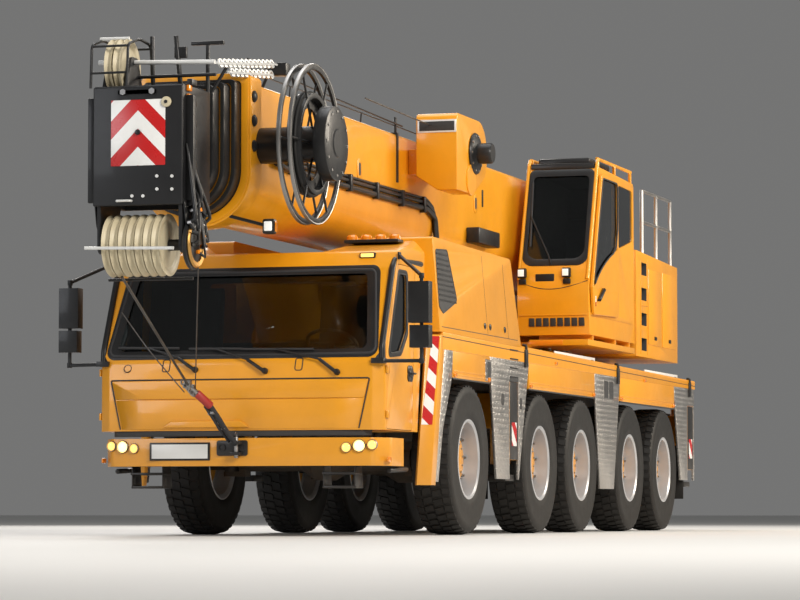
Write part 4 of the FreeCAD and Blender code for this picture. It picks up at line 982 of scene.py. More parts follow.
class CRANE_OT_cab_doors(bpy.types.Operator):
    """Two hinged cab doors with glass, seals and handles"""
    bl_idname = "crane.cab_doors"
    bl_label = "Cab doors"

    def execute(self, context):
        for side_name, side in SIDES:
            node = "cab_door_" + side_name
            leaf, pane = loose_parts(node)[:2]
            leaf = dress_with(leaf, node + "_leaf", "crane_yellow")
            soften(leaf, 0.005, 2, 30)
            out = side * CAB_HALF
            cut_at(leaf, (at(0, out * 0.985, 0), (0, 1, 0)))
            repaint(leaf, "trim_black", lambda c, n: abs(c.y) < CAB_HALF * 0.985 and n.y * side < 0.3)
            dress_with(pane, node + "_pane", "window_tint")
            trims = [band("pane_frame", PANE_FRAME, PANE_EDGE, "side", out - side * 0.001,
                out + side * 0.004, "satin_black", 0.0015), seal("pane_seal", PANE_EDGE, lambda x,
                z: at(x, out, z), 0.009)]
            for k in range(4):
                turn = math.pi / 2 * k + math.pi / 4
                trims.append(lathe("rosette", ((0, 0), (0.042, 0), (0.042, 0.008), (0.030, 0.014),
                    (0, 0.014)), at(1.605 + 0.046 * math.cos(turn), out, 1.400 + 0.040 * math.sin(turn)),
                    (0, side, 0), "satin_black", 24))
            trims += [block("latch", at(1.545, out - side * 0.002, 1.372),
                at(1.665, out + side * 0.022, 1.428), "satin_black", 0.010),
                pipe("grip", (at(1.560, out + side * 0.014, 1.400), at(1.570, out + side * 0.045, 1.400),
                at(1.640, out + side * 0.045, 1.400), at(1.650, out + side * 0.014, 1.400)), 0.009,
                "satin_black", bend=0.02)]
            body = body_of(node)
            spare = [part for part in bpy.data.objects if part.name.startswith(node + "_part")]
            for part in spare:
                dress_with(part, node + "_hinge", "satin_black")
                trims.append(part)
            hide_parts(node)
            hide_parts(node)
            mount(leaf, body, "yellow_paint")
            mount(pane, body, "window_glass")
            fit(node + "_trim", trims, body, "cab_trim")
        return {"FINISHED"}


class CRANE_OT_cab_interior(bpy.types.Operator):
    """Seats, dashboard and steering wheel seen through the glass"""
    bl_idname = "crane.cab_interior"
    bl_label = "Cab interior"

    def execute(self, context):
        inside = skin("cab_interior", "trim_black", bevel=0.012)
        repaint(inside, "seat_cloth", lambda c, n: c.x < AXLE1 + 1.985 and abs(c.x - AXLE1 - 1.955) > 0.3)
        mount(inside, "carrier", "cab_trim")
        crane_inside = skin("crane_cab_interior", "seat_cloth", bevel=0.02, segments=3)
        y = middle("crane_cab_interior").y
        extra = []
        for side in (1, -1):
            arm = block("armrest", at(-6.25, y + side * 0.25, 2.80), at(-5.80, y + side * 0.33, 2.86),
                "trim_black", 0.02)
            stick = pipe("stick", (at(-5.86, y + side * 0.29, 2.85), at(-5.85, y + side * 0.29, 2.95),
                at(-5.83, y + side * 0.28, 3.00)), 0.014, "trim_black")
            knob = ball("knob", at(-5.83, y + side * 0.28, 3.01), 0.028, "trim_black")
            extra += [arm, stick, knob]
        screen = block("display", at(-5.16, y + 0.18, 2.72), at(-5.10, y + 0.34, 2.95), "trim_black",
            0.01)
        extra.append(screen)
        mount(crane_inside, "superstructure", "cab_trim")
        fit("crane_cab_controls", extra, "superstructure", "cab_trim")
        return {"FINISHED"}


# Bumper and mirrors

def lamp_unit(name, centre, radius, glow, turn=0.0):
    """Round lamp looking ahead: bezel, reflector and lens."""
    ahead = (1, turn, 0)
    bezel = lathe(name, ((radius * 0.80, -0.012), (radius, -0.012), (radius, 0.014),
        (radius * 0.90, 0.022), (radius * 0.80, 0.012)), centre, ahead, "bare_steel", 40)
    lens = lathe(name + "_lens", ((0, -0.004), (radius * 0.82, -0.004), (radius * 0.82, 0.008),
        (radius * 0.5, 0.017), (0, 0.020)), centre, ahead, glow, 40)
    return [bezel, lens]


# Headlamps: distance from the middle, height, place of the bumper's face, radius and glow
HEAD_LAMPS = ((0.960, 0.752, 2.363, 0.046, "lamp_warm"), (1.070, 0.766, 2.347, 0.056, "lamp_lit"),
    (1.180, 0.774, 2.331, 0.046, "lamp_warm"))


class CRANE_OT_bumper(bpy.types.Operator):
    """Front bumper with its lamps, tow jaw, blank plate and steps"""
    bl_idname = "crane.bumper"
    bl_label = "Bumper"

    def execute(self, context):
        beam = skin("front_bumper", "crane_yellow", bevel=0.010, segments=3)
        repaint(beam, "satin_black", lambda c, n: c.x > AXLE1 + 2.402 or (c.x < AXLE1 + 2.2
            and abs(c.y) < 0.5))
        mount(beam, "carrier", "yellow_paint")
        pieces = []
        for side in (1, -1):
            for y, z, x, radius, glow in HEAD_LAMPS:
                pieces += lamp_unit("head_lamp", at(x, side * y, z), radius, glow, side * 0.14)
            pieces += [block("marker", at(2.18, side * 1.290, 0.630), at(2.26, side * 1.306, 0.672),
                "lamp_amber", 0.005), bar("marker_rod", at(2.05, side * 1.240, 0.560),
                at(1.55, side * 1.240, 0.575), 0.022, "satin_black", 16, 0.004)]
        plate_frame = block("plate_frame", at(2.400, -0.802, 0.646), at(2.410, -0.250, 0.800),
            "satin_black", 0.004)
        plate = block("plate", at(2.409, -0.782, 0.662), at(2.413, -0.270, 0.784), "plate_white", 0.002)
        tow = prism("tow_plate", ((-0.188, 0.684, 0.02), (0.092, 0.684, 0.02), (0.092, 0.816, 0.02),
            (-0.188, 0.816, 0.02)), "front", 2.400, 2.414, "satin_black", 0.004)
        rings = [lathe("tow_ring", ((0.022, 0), (0.034, 0), (0.034, 0.008), (0.022, 0.008)),
            at(2.413, y, 0.755), (1, 0, 0), "satin_black", 28) for y in (-0.14, 0.045)]
        pin = bar("tow_pin", at(2.440, 0, 0.665), at(2.440, 0, 0.845), 0.0185, "bare_steel", 24, 0.003)
        ring = lathe("tow_pin_ring", ((0.018, -0.004), (0.026, -0.004), (0.026, 0.004), (0.018, 0.004)),
            at(2.440, 0, 0.862), (0, 1, 0), "bare_steel", 24)
        fit("bumper_fittings", pieces + [plate_frame, plate, tow, pin, ring] + rings, "carrier",
            "dark_paint")
        steps = []
        for side in (1, -1):
            for z, depth in ((0.545, 0.0), (0.430, 0.02)):
                steps.append(block("step", at(2.10 - depth, side * 0.72, z - 0.022),
                    at(2.30 - depth, side * 1.02, z), "satin_black", 0.006))
            for y in (0.73, 1.01):
                steps.append(prism("step_side", ((2.10, 0.62), (2.28, 0.62), (2.28, 0.41), (2.06, 0.41)),
                    "side", side * (y - 0.006), side * (y + 0.006), "satin_black", 0.003))
        fit("front_steps", steps, "carrier", "dark_paint")
        return {"FINISHED"}


class CRANE_OT_mirrors(bpy.types.Operator):
    """Mirror heads and arms"""
    bl_idname = "crane.mirrors"
    bl_label = "Mirrors"

    def execute(self, context):
        frame_piece = skin("mirrors", "satin_black", bevel=0.018, segments=3)
        mount(frame_piece, "carrier", "dark_paint")
        faces = []
        for side in (1, -1):
            for z0, z1 in ((1.82, 2.13), (1.61, 1.76)):
                faces.append(block("mirror_face", at(2.222, side * (CAB_HALF + 0.232), z0),
                    at(2.229, side * (CAB_HALF + 0.368), z1), "rod_chrome", 0.003))
        fit("mirror_faces", faces, "carrier", "cylinder_rod")
        return {"FINISHED"}


# Carrier sides

BANDS = ((0.560, -0.666, 1.400), (-2.065, -4.700, 1.392), (-5.835, -8.487, 1.388))
DECK_ROWS = ((-9.620, 1.724), (0.876, 1.796))
POST_ROWS = ((0.440, 1.110), (1.770, 0.800))


class CRANE_OT_carrier_sides(bpy.types.Operator):
    """Chassis, deck, chequer panels, fenders, boards, hooks and lamps"""
    bl_idname = "crane.carrier_sides"
    bl_label = "Carrier sides"

    def execute(self, context):
        for node, material, bevel, slot in (("chassis_frame", "chassis_black", 0.006, "chassis_paint"),
                ("axle_beams", "chassis_black", 0.006, "chassis_paint"),
                ("deck", "crane_yellow", 0.006, "yellow_paint"), ("chequer_panels", "tread_plate", 0.003,
                "chequer_plate"), ("fender_bands", "crane_yellow", 0.004, "yellow_paint")):
            made = skin(node, material, bevel)
            if node == "deck":
                repaint(made, "deck_tread", lambda c, n: n.z > 0.7)
            mount(made, "carrier", slot)
        for side_name, side in SIDES:
            self.side_board(side_name, side)
            self.fender_ribs(side_name, side)
            self.panel_cuts(side_name, side)
            self.deck_edge(side_name, side)
            self.rear_lamps(side_name, side)
        return {"FINISHED"}

    def side_board(self, side_name, side):
        """Striped board on the folded front of the leaning post behind the cab."""
        def on_fold(u, z, proud):
            x = interpolate(POST_ROWS, z) + 0.14 + 0.1 * u + 0.707 * proud
            return at(x, side * (HALF_WIDTH - 0.1 * u + 0.707 * proud), z)

        board = prism("side_board", ((0.10, 1.755), (0.62, 1.755), (0.98, 0.970), (0.20, 0.970)), on_fold,
            0.0005, 0.003, "post_stripes", 0.0)
        fit("side_board_" + side_name, [board], "carrier", "yellow_paint")

    def fender_ribs(self, side_name, side):
        """Pressed ribs and lower lips of the fender bands, with small corner lamps."""
        pieces = []
        for front, rear, bottom in BANDS:
            for rise in (0.028, 0.060):
                pieces.append(block("rib", at(rear + 0.015, side * 1.372, bottom + rise),
                    at(front - 0.015, side * 1.3795, bottom + rise + 0.014), "crane_yellow", 0.004))
            pieces.append(block("lip", at(rear, side * 1.362, bottom - 0.010),
                at(front, side * 1.376, bottom + 0.006), "trim_black", 0.003))
            for x in (front - 0.05, rear + 0.05):
                pieces.append(block("corner_lamp", at(x - 0.035, side * 1.374, bottom + 0.012),
                    at(x + 0.035, side * 1.392, bottom + 0.048), "lamp_amber", 0.006))
        fit("fender_ribs_" + side_name, pieces, "carrier", "yellow_paint")

    def panel_cuts(self, side_name, side):
        """Framed slot, ladder gap, keyholes and window of the chequer panels, with black plates in the
        openings as painted shade.
        """
        def plate(name, x0, x1, z0, z1, proud, material):
            return block(name, at(x0, side * 1.373, z0), at(x1, side * (HALF_WIDTH + proud), z1),
                material, 0.002, 1)

        beam_low, beam_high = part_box("outrigger_beam_front_" + side_name)
        low, high = beam_low[0] - AXLE1, beam_high[0] - AXLE1
        # The slot, ladder gap and window are black plates: painted shade in the openings behind the panels.
        pieces = [plate("slot_frame", -0.500, -0.700, 1.415, 1.615, 0.005, "tread_plate"),
            plate("slot", -0.562, -0.672, 1.440, 1.594, 0.007, "trim_black"),
            plate("ladder_gap", low - 0.005, high + 0.005, beam_high[2], 1.485, 0.0015, "trim_black"),
            plate("window_frame", -5.085, -5.530, 1.385, 1.602, 0.004, "tread_plate"),
            plate("window", -5.110, -5.505, 1.405, 1.585, 0.006, "trim_black"),
            plate("window_bar", -5.290, -5.310, 1.405, 1.585, 0.008, "tread_plate")]
        # The keyholes are black prisms: painted shade in the holes.
        for x, z in ((-1.110, 1.262), (-1.760, 1.240)):
            pieces.append(prism("keyhole", oblong(x, z, 0.045, 0.055, 0.03), "side", side * 1.374,
                side * (HALF_WIDTH + 0.0015), "trim_black", 0.0))
        for k in range(4):
            z = beam_high[2] + 0.04 + 0.085 * k
            pieces.append(plate("rung", low + 0.01, high - 0.01, z, z + 0.014, 0.006, "satin_black"))
        fit("panel_cuts_" + side_name, pieces, "carrier", "dark_paint")

    def deck_edge(self, side_name, side):
        """Groove along the deck's edge with its hooks, deck boards and marker lamps."""
        groove = [at(x, side * (HALF_WIDTH + 0.001), z - 0.040) for x, z in DECK_ROWS]
        pieces = [bar("edge_groove", groove[0], groove[1], 0.0035, "trim_black", 8)]
        ends = [at(x, side * 1.362, z + 0.008) for x, z in DECK_ROWS]
        pieces.append(bar("edge_rail", ends[0], ends[1], 0.012, "crane_yellow", 12))
        for x in (-1.935, -5.722, -9.30):
            z = interpolate(DECK_ROWS, x)
            pieces.append(block("deck_hook", at(x - 0.045, side * 1.374, z - 0.180),
                at(x + 0.045, side * 1.394, z - 0.010), "satin_black", 0.008))
            pieces.append(pipe("hook_tip", (at(x, side * 1.385, z - 0.03), at(x, side * 1.380, z + 0.030),
                at(x, side * 1.345, z + 0.035)), 0.014, "satin_black", bend=0.02))
        for x0, x1 in ((-3.36, -5.03), (-7.35, -9.02)):
            z = interpolate(DECK_ROWS, (x0 + x1) / 2)
            pieces.append(block("deck_board", at(x0, side * 1.285, z - 0.02),
                at(x1, side * 1.300, z + 0.060), "plate_white", 0.004))
            for x in (x0 - 0.22, x0 - 0.42, x1 + 0.12):
                pieces.append(block("board_mark", at(x - 0.05, side * 1.299, z + 0.012),
                    at(x + 0.05, side * 1.302, z + 0.034), "satin_black", 0.001, 1))
        for x in (-3.1, -7.0):
            z = interpolate(DECK_ROWS, x) - 0.085
            pieces.append(block("side_marker", at(x - 0.045, side * 1.374, z - 0.015),
                at(x + 0.045, side * 1.386, z + 0.015), "lamp_amber", 0.004))
        fit("deck_edge_" + side_name, pieces, "carrier", "yellow_paint")

    def rear_lamps(self, side_name, side):
        """Mud flap and lamp cluster behind the last wheel."""
        pieces = [block("mud_flap", at(-9.03, side * 0.99, 0.36), at(-9.015, side * 1.36, 0.98), "rubber",
            0.004), block("lamp_housing", at(-9.60, side * 0.92, 0.98), at(-9.562, side * 1.34, 1.14),
            "satin_black", 0.01)]
        for y, glow in ((1.27, "lamp_red"), (1.13, "lamp_amber"), (0.99, "lamp_red")):
            pieces.append(block("lamp_lens", at(-9.612, side * (y - 0.06), 1.005),
                at(-9.598, side * (y + 0.06), 1.115), glow, 0.006))
        pieces.append(block("rear_bar", at(-9.560, side * 0.46, 0.985), at(-9.535, side * 1.36, 1.135),
            "chassis_black", 0.006))
        fit("rear_lamps_" + side_name, pieces, "carrier", "dark_paint")


GRILLE_EDGE = ((0.930, 2.020, 0.04), (0.900, 2.530, 0.04), (0.530, 2.550, 0.04), (0.340, 2.100, 0.04),
    (0.820, 1.965, 0.04))


class CRANE_OT_engine(bpy.types.Operator):
    """Engine covers with their grilles, seams and handles, and the engine between them"""
    bl_idname = "crane.engine"
    bl_label = "Engine covers"

    def execute(self, context):
        covers = skin("engine_covers", "crane_yellow", bevel=0.014, segments=3)
        mount(covers, "carrier", "yellow_paint")
        mount(skin("engine_block", "cast_grey", bevel=0.02), "carrier", "cast_metal")
        for side_name, side in SIDES:
            def on_cover(u, v, d):
                return at(u, side * (HALF_WIDTH - 0.075 * max(0.0, v - 1.796) / 0.845 + d), v)

            pieces = [prism("grille", GRILLE_EDGE, on_cover, -0.020, 0.0015, "trim_black", 0.0),
                seal("grille_edge", GRILLE_EDGE, lambda u, v: on_cover(u, v, 0.0), 0.006)]
            for k in range(10):
                z = 2.075 + 0.046 * k
                rear = 0.370 + 0.190 * max(0.0, z - 2.100) / 0.45
                front = 0.905 - 0.030 * (z - 2.020) / 0.51
                pieces.append(prism("slat", ((rear, z), (front, z), (front, z + 0.016),
                    (rear, z + 0.016)), on_cover, -0.001, 0.006, "satin_black", 0.002, 1))
            fit("cover_grille_" + side_name, pieces, "carrier", "dark_paint")
            seams = [prism("seam", ((x, 1.84), (x + 0.006, 1.84), (x + 0.006, z), (x, z)), on_cover,
                -0.001, 0.001, "trim_black", 0.0) for x, z in ((-0.62, 2.58), (-1.34, 2.55))]
            seams.append(prism("seam", ((0.90, 1.846), (-1.66, 1.846), (-1.66, 1.840), (0.90, 1.840)),
                on_cover, -0.001, 0.001, "trim_black", 0.0))
            handles = [lathe("latch", ((0, -0.004), (0.030, -0.004), (0.030, 0.005), (0.022, 0.009),
                (0, 0.009)), on_cover(x, 1.92, 0), (0, side, 0), "satin_black", 24)
                for x in (-0.53, -0.71, -1.22)]
            fit("cover_details_" + side_name, seams + handles, "carrier", "dark_paint")
        return {"FINISHED"}


# Superstructure

SLEW_X = -5.95
BOLT_CIRCLE = 0.775


class CRANE_OT_superstructure(bpy.types.Operator):
    """Turntable, side housings with ladder slots, rails and hatches, and the rope on the hoist drum"""
    bl_idname = "crane.superstructure"
    bl_label = "Superstructure"

    def execute(self, context):
        mount(skin("superstructure_frame", "crane_yellow", 0.008), "superstructure", "yellow_paint")
        housing = skin("side_housings", "crane_yellow", 0.006)
        repaint(housing, "bare_steel", lambda c, n: c.z > 3.115)
        # The ladder slot's faces are painted black: painted shade in the recess.
        repaint(housing, "trim_black", lambda c, n: -7.445 < c.x - AXLE1 < -7.185 and 1.23 < c.y < 1.2985
            and 1.99 < c.z < 3.0)
        mount(housing, "superstructure", "yellow_paint")
        mount(skin("hoist_drum", "rope_drum", 0.006), "superstructure", "drum_steel")
        drum = middle("hoist_drum")
        turns = []
        for k in range(30):
            y = -0.38 + k * 0.0262
            turns.append((0.224, y - 0.0125))
            turns.append((0.236, y))
        profile = turns + [(0.224, 0.39), (0.205, 0.39), (0.205, -0.395)]
        rope = lathe("hoist_rope_turns", profile, Vector((drum.x, 0, drum.z)), (0, 1, 0), "rope_steel",
            48, 60)
        mount(rope, "superstructure", "drum_steel")
        fittings = []
        for side, top, x0, x1 in ((1, 2.93, -7.52, -8.16), (1, 2.93, -8.22, -8.92),
                (-1, 2.66, -6.50, -7.62), (-1, 2.66, -7.72, -8.90)):
            x = (x0 + x1) / 2
            fittings += [block("hatch", at(x0, side * 1.297, 2.08), at(x1, side * 1.309, top),
                "crane_yellow", 0.006), block("hatch_latch", at(x - 0.05, side * 1.308, 2.14),
                at(x + 0.05, side * 1.318, 2.18), "satin_black", 0.004)]
        for x in (-7.155, -7.475):
            fittings.append(block("slot_strip", at(x - 0.012, 1.297, 1.96), at(x + 0.012, 1.306, 3.02),
                "crane_yellow", 0.003))
        fittings.append(block("strip_joint", at(-7.12, 1.297, 2.50), at(-7.50, 1.308, 2.512),
            "crane_yellow", 0.003))
        fittings.append(block("rear_lamp", at(-9.02, 0.95, 2.90), at(-9.032, 1.20, 2.98), "lamp_red",
            0.004))
        for y0, y1 in ((0.55, 1.24), (-0.55, -1.24)):
            for k in range(7):
                z = 2.10 + k * 0.07
                fittings.append(block("louvre", at(-9.018, y0, z), at(-9.030, y1, z + 0.028),
                    "satin_black", 0.004, 1))
        fit("housing_fittings", fittings, "superstructure", "yellow_paint")
        ring = round_copies(nut("ring_bolts", at(SLEW_X + BOLT_CIRCLE, 0, 1.931), (0, 0, 1), 0.018,
            0.016), 36, at(SLEW_X, 0, 1.93), (0, 0, 1))
        mount(ring, "superstructure", "drum_steel")
        return {"FINISHED"}


# Crane cab

CRANE_CAB_MIDDLE = (-5.800, 0.905, 2.900)
CRANE_FRONT_ROWS = ((2.06, -4.840), (2.40, -4.790), (2.60, -4.800), (3.86, -5.230))
CRANE_FRAME_EDGE = ((1.266, 2.790, 0.12), (1.258, 3.842, 0.06), (0.552, 3.842, 0.06),
    (0.542, 2.790, 0.12))
CRANE_GLASS_EDGE = ((1.218, 2.862, 0.12), (1.208, 3.765, 0.05), (0.602, 3.765, 0.05),
    (0.592, 2.862, 0.12))
# Lower edge of the door's glass, rising to the rear in an even curve
DOOR_CURVE = ((-4.866, 2.545), (-5.002, 2.651), (-5.180, 2.758), (-5.404, 2.858), (-5.631, 2.944))


def crane_front(proud):
    return lambda y, z: at(interpolate(CRANE_FRONT_ROWS, z) + proud, y, z)


def crane_skin(y, z, proud):
    return at(interpolate(CRANE_FRONT_ROWS, z) + proud, y, z)


class CRANE_OT_crane_cab(bpy.types.Operator):
    """Operator's cab with glass, sliding door, roof guards, lamps and vents"""
    bl_idname = "crane.crane_cab"
    bl_label = "Crane cab"

    def execute(self, context):
        shell = skin("crane_cab", "crane_yellow", 0.010, 3)
        inside = at(*CRANE_CAB_MIDDLE)
        repaint(shell, "trim_black", lambda c, n: (inside - c).dot(n) > 0.02
            and abs(c.y - inside.y) < 0.36 and c.z > 2.07 and -6.86 < c.x - AXLE1 < -4.80)
        mount(shell, "superstructure", "yellow_paint")
        mount(skin("crane_cab_glass", "window_tint", 0), "superstructure", "window_glass")
        mount(skin("crane_cab_guards", "crane_yellow", 0), "superstructure", "yellow_paint")
        self.door()
        self.front()
        return {"FINISHED"}

    def door(self):
        """Sliding door with its curved panel, seal, slanting handle and reflector."""
        leaf, pane = loose_parts("crane_cab_door")[:2]
        dress_with(leaf, "crane_door_leaf", "crane_yellow")
        soften(leaf, 0.006, 3, 30)
        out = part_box("crane_cab_door")[1][1]
        panel = prism("door_panel", DOOR_CURVE + ((-5.978, 3.036), (-5.978, 2.585), (-5.580, 2.545)),
            "side", out - 0.008, out + 0.0015, "crane_yellow", 0.0)
        leaf = joined("crane_door_leaf", [leaf, panel])
        dress_with(pane, "crane_door_pane", "window_tint")
        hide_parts("crane_cab_door")
        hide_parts("crane_cab_door")
        mount(leaf, "crane_cab_door", "yellow_paint")
        mount(pane, "crane_cab_door", "window_glass")
        edge = ((-5.285, 3.740, 0.06), (-5.945, 3.740, 0.06), (-5.945,
            3.027)) + tuple(reversed(DOOR_CURVE))
        pieces = [bar("door_handle", at(-5.03, out + 0.022, 2.430), at(-5.24, out + 0.022, 2.555), 0.019,
            "satin_black", 16, 0.006), seal("door_seal", edge, lambda x, z: at(x, out, z), 0.009),
            block("reflector", at(-4.935, out - 0.002, 2.405), at(-4.965, out + 0.003, 2.470),
            "plate_white", 0.002), block("reflector", at(-4.935, out - 0.002, 2.360),
            at(-4.965, out + 0.003, 2.405), "lamp_red", 0.002)]
        for x, z in ((-5.03, 2.430), (-5.24, 2.555)):
            pieces.append(bar("handle_foot", at(x, out - 0.002, z), at(x, out + 0.022, z), 0.013,
                "satin_black", 12))
        fit("crane_door_fittings", pieces, "crane_cab_door", "cab_trim")

    def front(self):
        """Black frame round the screen, corner posts, lamps, vents, wiper and roof unit."""
        pieces = [band("crane_screen_frame", CRANE_FRAME_EDGE, CRANE_GLASS_EDGE, crane_skin, -0.002,
            0.005, "satin_black", 0.002)]
        pieces += [pipe("crane_wiper", (crane_front(0.01)(0.87, 2.80), crane_front(0.030)(0.84, 2.90),
            crane_front(0.030)(0.615, 3.330)), 0.010, "satin_black", bend=0.03),
            bar("crane_blade", crane_front(0.016)(0.600, 3.700), crane_front(0.016)(0.630, 3.000), 0.012,
            "trim_black", 8)]
        for y in (0.572, 1.052):
            z = 2.712
            pieces += [block("lamp_case", crane_skin(y - 0.048, z - 0.052, 0.0),
                crane_skin(y + 0.048, z + 0.052, 0.085), "satin_black", 0.014),
                block("lamp_face", crane_skin(y - 0.033, z - 0.036, 0.080),
                crane_skin(y + 0.033, z + 0.036, 0.106), "lamp_white", 0.008),
                block("lamp_foot", crane_skin(y - 0.034, z - 0.120, 0.0),
                crane_skin(y + 0.046, z - 0.062, 0.045), "satin_black", 0.008)]
        pieces.append(block("front_panel", crane_skin(0.712, 2.612, -0.004),
            crane_skin(0.915, 2.702, 0.012), "satin_black", 0.006))
        front = crane_front(0.001)
        crease = [front(y, z) for y, z in ((0.532, 2.622), (0.700, 2.555), (0.880, 2.535), (1.080, 2.560),
            (1.278, 2.624))]
        pieces.append(pipe("front_crease", crease, 0.004, "trim_black"))
        for k in range(8):
            y = 0.640 + 0.077 * k
            pieces.append(block("front_vent", crane_skin(y, 2.150, -0.004),
                crane_skin(y + 0.060, 2.238, 0.006), "trim_black", 0.003))
        pieces.append(block("front_reflector", at(-4.602, 0.705, 1.948), at(-4.592, 1.060, 1.992),
            "lamp_amber", 0.003))
        pieces.append(block("front_header", at(-5.215, 0.560, 3.845), at(-5.300, 1.250, 3.905),
            "satin_black", 0.010))
        pieces.append(block("roof_unit", at(-5.42, 0.640, 3.835), at(-6.20, 1.130, 3.905), "satin_black",
            0.02))
        pieces.append(block("roof_unit", at(-5.36, 0.600, 3.900), at(-6.26, 1.170, 3.975), "satin_black",
            0.025))
        fit("crane_cab_fittings", pieces, "superstructure", "dark_paint")
        ledge = block("front_ledge", crane_skin(0.540, 2.262, -0.004), crane_skin(1.272, 2.276, 0.016),
            "crane_yellow", 0.004)
        posts = [pipe("corner_post", (at(-4.800, y, 2.640), at(-4.825, y, 2.700), at(-5.245, y, 3.895),
            at(-5.290, y, 3.948)), 0.019, "crane_yellow", bend=0.05, sides=16) for y in (0.533, 1.276)]
        fit("crane_cab_posts", [ledge] + posts, "superstructure", "yellow_paint")


# Boom

BOOM = ((0.420, 2.620, 3.770, -8.650, 3.460), (0.380, 2.660, 3.730, -8.030, 3.610),
    (0.340, 2.700, 3.690, -7.910, 3.760), (0.300, 2.740, 3.650, -7.790, 3.910),
    (0.260, 2.780, 3.610, -7.670, 4.060), (0.220, 2.820, 3.570, -7.550, 4.120))
BOOM_WALL = 0.014


def boom_ring(index, grow):
    """Points of a boom section's outline, flat on top and round below, grown outward."""
    half, bottom, top = BOOM[index][:3]
    half, bottom, top = half + grow, bottom - grow, top + grow
    belly = half * 0.93
    corners = ((half, top, 0.040), (half, bottom, belly), (-half, bottom, belly), (-half, top, 0.040))
    return rounded(corners, steps=14)


class CRANE_OT_boom(bpy.types.Operator):
    """Boom base and its nested telescopes with collars, lugs, pipes and cable clips"""
    bl_idname = "crane.boom"
    bl_label = "Boom"

    def execute(self, context):
        self.base()
        for i in range(1, 5):
            node = "boom_section_%d" % i
            rear, front = BOOM[i][3:]
            tube = band(node + "_tube", boom_ring(i, 0), boom_ring(i, -BOOM_WALL), "front", rear, front,
                "crane_yellow")
            collar = band("collar", boom_ring(i, 0.022), boom_ring(i, -BOOM_WALL), "front", front - 0.140,
                front + 0.001, "satin_black", 0.004)
            pads = [block("wear_pad", at(front - 0.002, y - 0.05, BOOM[i][2] - 0.010),
                at(front + 0.008, y + 0.05, BOOM[i][2] + 0.008), "head_black", 0.003)
                for y in (-0.15, 0.15)]
            piece = joined(node + "_skin", [tube, collar] + pads)
            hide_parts(node)
            mount(piece, node, "dark_paint")
        return {"FINISHED"}

    def base(self):
        rear, front = BOOM[0][3:]
        tube = band("boom_base_tube", boom_ring(0, 0), boom_ring(0, -BOOM_WALL), "front", rear, front,
            "crane_yellow")
        solids = loose_parts("boom_base")
        kept = []
        for part in solids:
            xs = [v.co.x for v in part.data.vertices]
            slim_pad = max(xs) < AXLE1 + front - 0.015 and min(xs) > AXLE1 + front - 0.125
            if max(xs) - min(xs) > 5 or slim_pad:
                bpy.data.objects.remove(part)
                continue
            dress_with(part, "boom_part", "crane_yellow")
            kept.append(soften(part, 0.008, 3, 30))
        rim = band("collar_rim", boom_ring(0, 0.050), boom_ring(0, -BOOM_WALL), "front", front - 0.010,
            front + 0.010, "crane_yellow", 0.004)
        lining = band("collar_lining", boom_ring(0, -0.004), boom_ring(0, -0.030), "front", front - 0.20,
            front + 0.006, "satin_black")
        rear_rim = band("rear_rim", boom_ring(0, 0.012), boom_ring(0, -0.02), "front", rear - 0.001,
            rear + 0.10, "crane_yellow", 0.004)
        piece = joined("boom_base_skin", [tube, rim, lining, rear_rim] + kept)
        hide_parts("boom_base")
        mount(piece, "boom", "yellow_paint")
        fittings = []
        for z in (3.22, 3.43, 3.63):
            fittings.append(lathe("collar_lug", ((0.0, -0.010), (0.048, -0.010), (0.048, 0.022),
                (0.030, 0.034), (0, 0.034)), at(3.395, 0.480, z), (0, 1, 0), "satin_black", 28))
        y = 0.436
        for z, r, drop in ((3.125, 0.030, 0.0), (3.185, 0.019, 0.03), (3.222, 0.013, 0.05)):
            fittings.append(pipe("boom_pipe", (at(2.75, y + 0.03, z + 0.02), at(2.45, y, z),
                at(0.6, y, z), at(-1.75, y, z + 0.01), at(-2.00 + drop, y + 0.01, z - 0.06),
                at(-2.06 + drop, y + 0.01, 2.85), at(-2.02, 0.38, 2.72)), r, "satin_black", bend=0.10,
                sides=12))
        for x in (2.3, 1.5, 0.7, -0.1, -0.9, -1.6):
            fittings.append(block("pipe_clip", at(x - 0.03, 0.418, 3.088), at(x + 0.03, 0.474, 3.242),
                "satin_black", 0.006))
        for name, low, high, bevel in (("strap", (-0.855, 0.418, 3.310), (-0.805, 0.432, 3.770), 0.004),
                ("strap", (-0.855, -0.430, 3.766), (-0.805, 0.430, 3.782), 0.004),
                ("strap_post", (-0.845, 0.395, 3.770), (-0.815, 0.415, 3.930), 0.004),
                ("side_strap", (-3.775, 0.418, 3.330), (-3.805, 0.430, 3.505), 0.003),
                ("valve_box", (-3.193, 0.42, 2.915), (-3.976, 0.56, 3.075), 0.015)):
            fittings.append(block(name, at(*low), at(*high), "satin_black", bevel))
        # The boom slots are thin black strips: painted shade in the slots.
        for k in range(4):
            fittings.append(block("boom_slot", at(-2.60 - 0.22 * k, 0.419, 3.44),
                at(-2.64 - 0.22 * k, 0.423, 3.48), "trim_black", 0.001, 1))
        fittings.append(pipe("wire_run", (at(3.3, 0.40, 3.96), at(1.2, 0.40, 3.90), at(-1.0, 0.42, 3.86)),
            0.008, "satin_black"))
        fittings.append(pipe("wire_run", (at(3.0, 0.40, 3.86), at(1.2, 0.40, 3.86), at(-4.0, 0.40, 3.83)),
            0.006, "satin_black"))
        for x, z in ((2.2, 3.86), (0.2, 3.86), (-1.8, 3.845), (-3.8, 3.83)):
            fittings.append(bar("wire_post", at(x, 0.39, 3.77), at(x, 0.40, z), 0.008, "satin_black", 10))
        for x, z in ((0.338, 3.324), (-3.527, 3.343)):
            fittings.append(prism("keyhole_ring", oblong(x, z, 0.062, 0.098, 0.06), "side", 0.418, 0.428,
                "crane_yellow", 0.003))
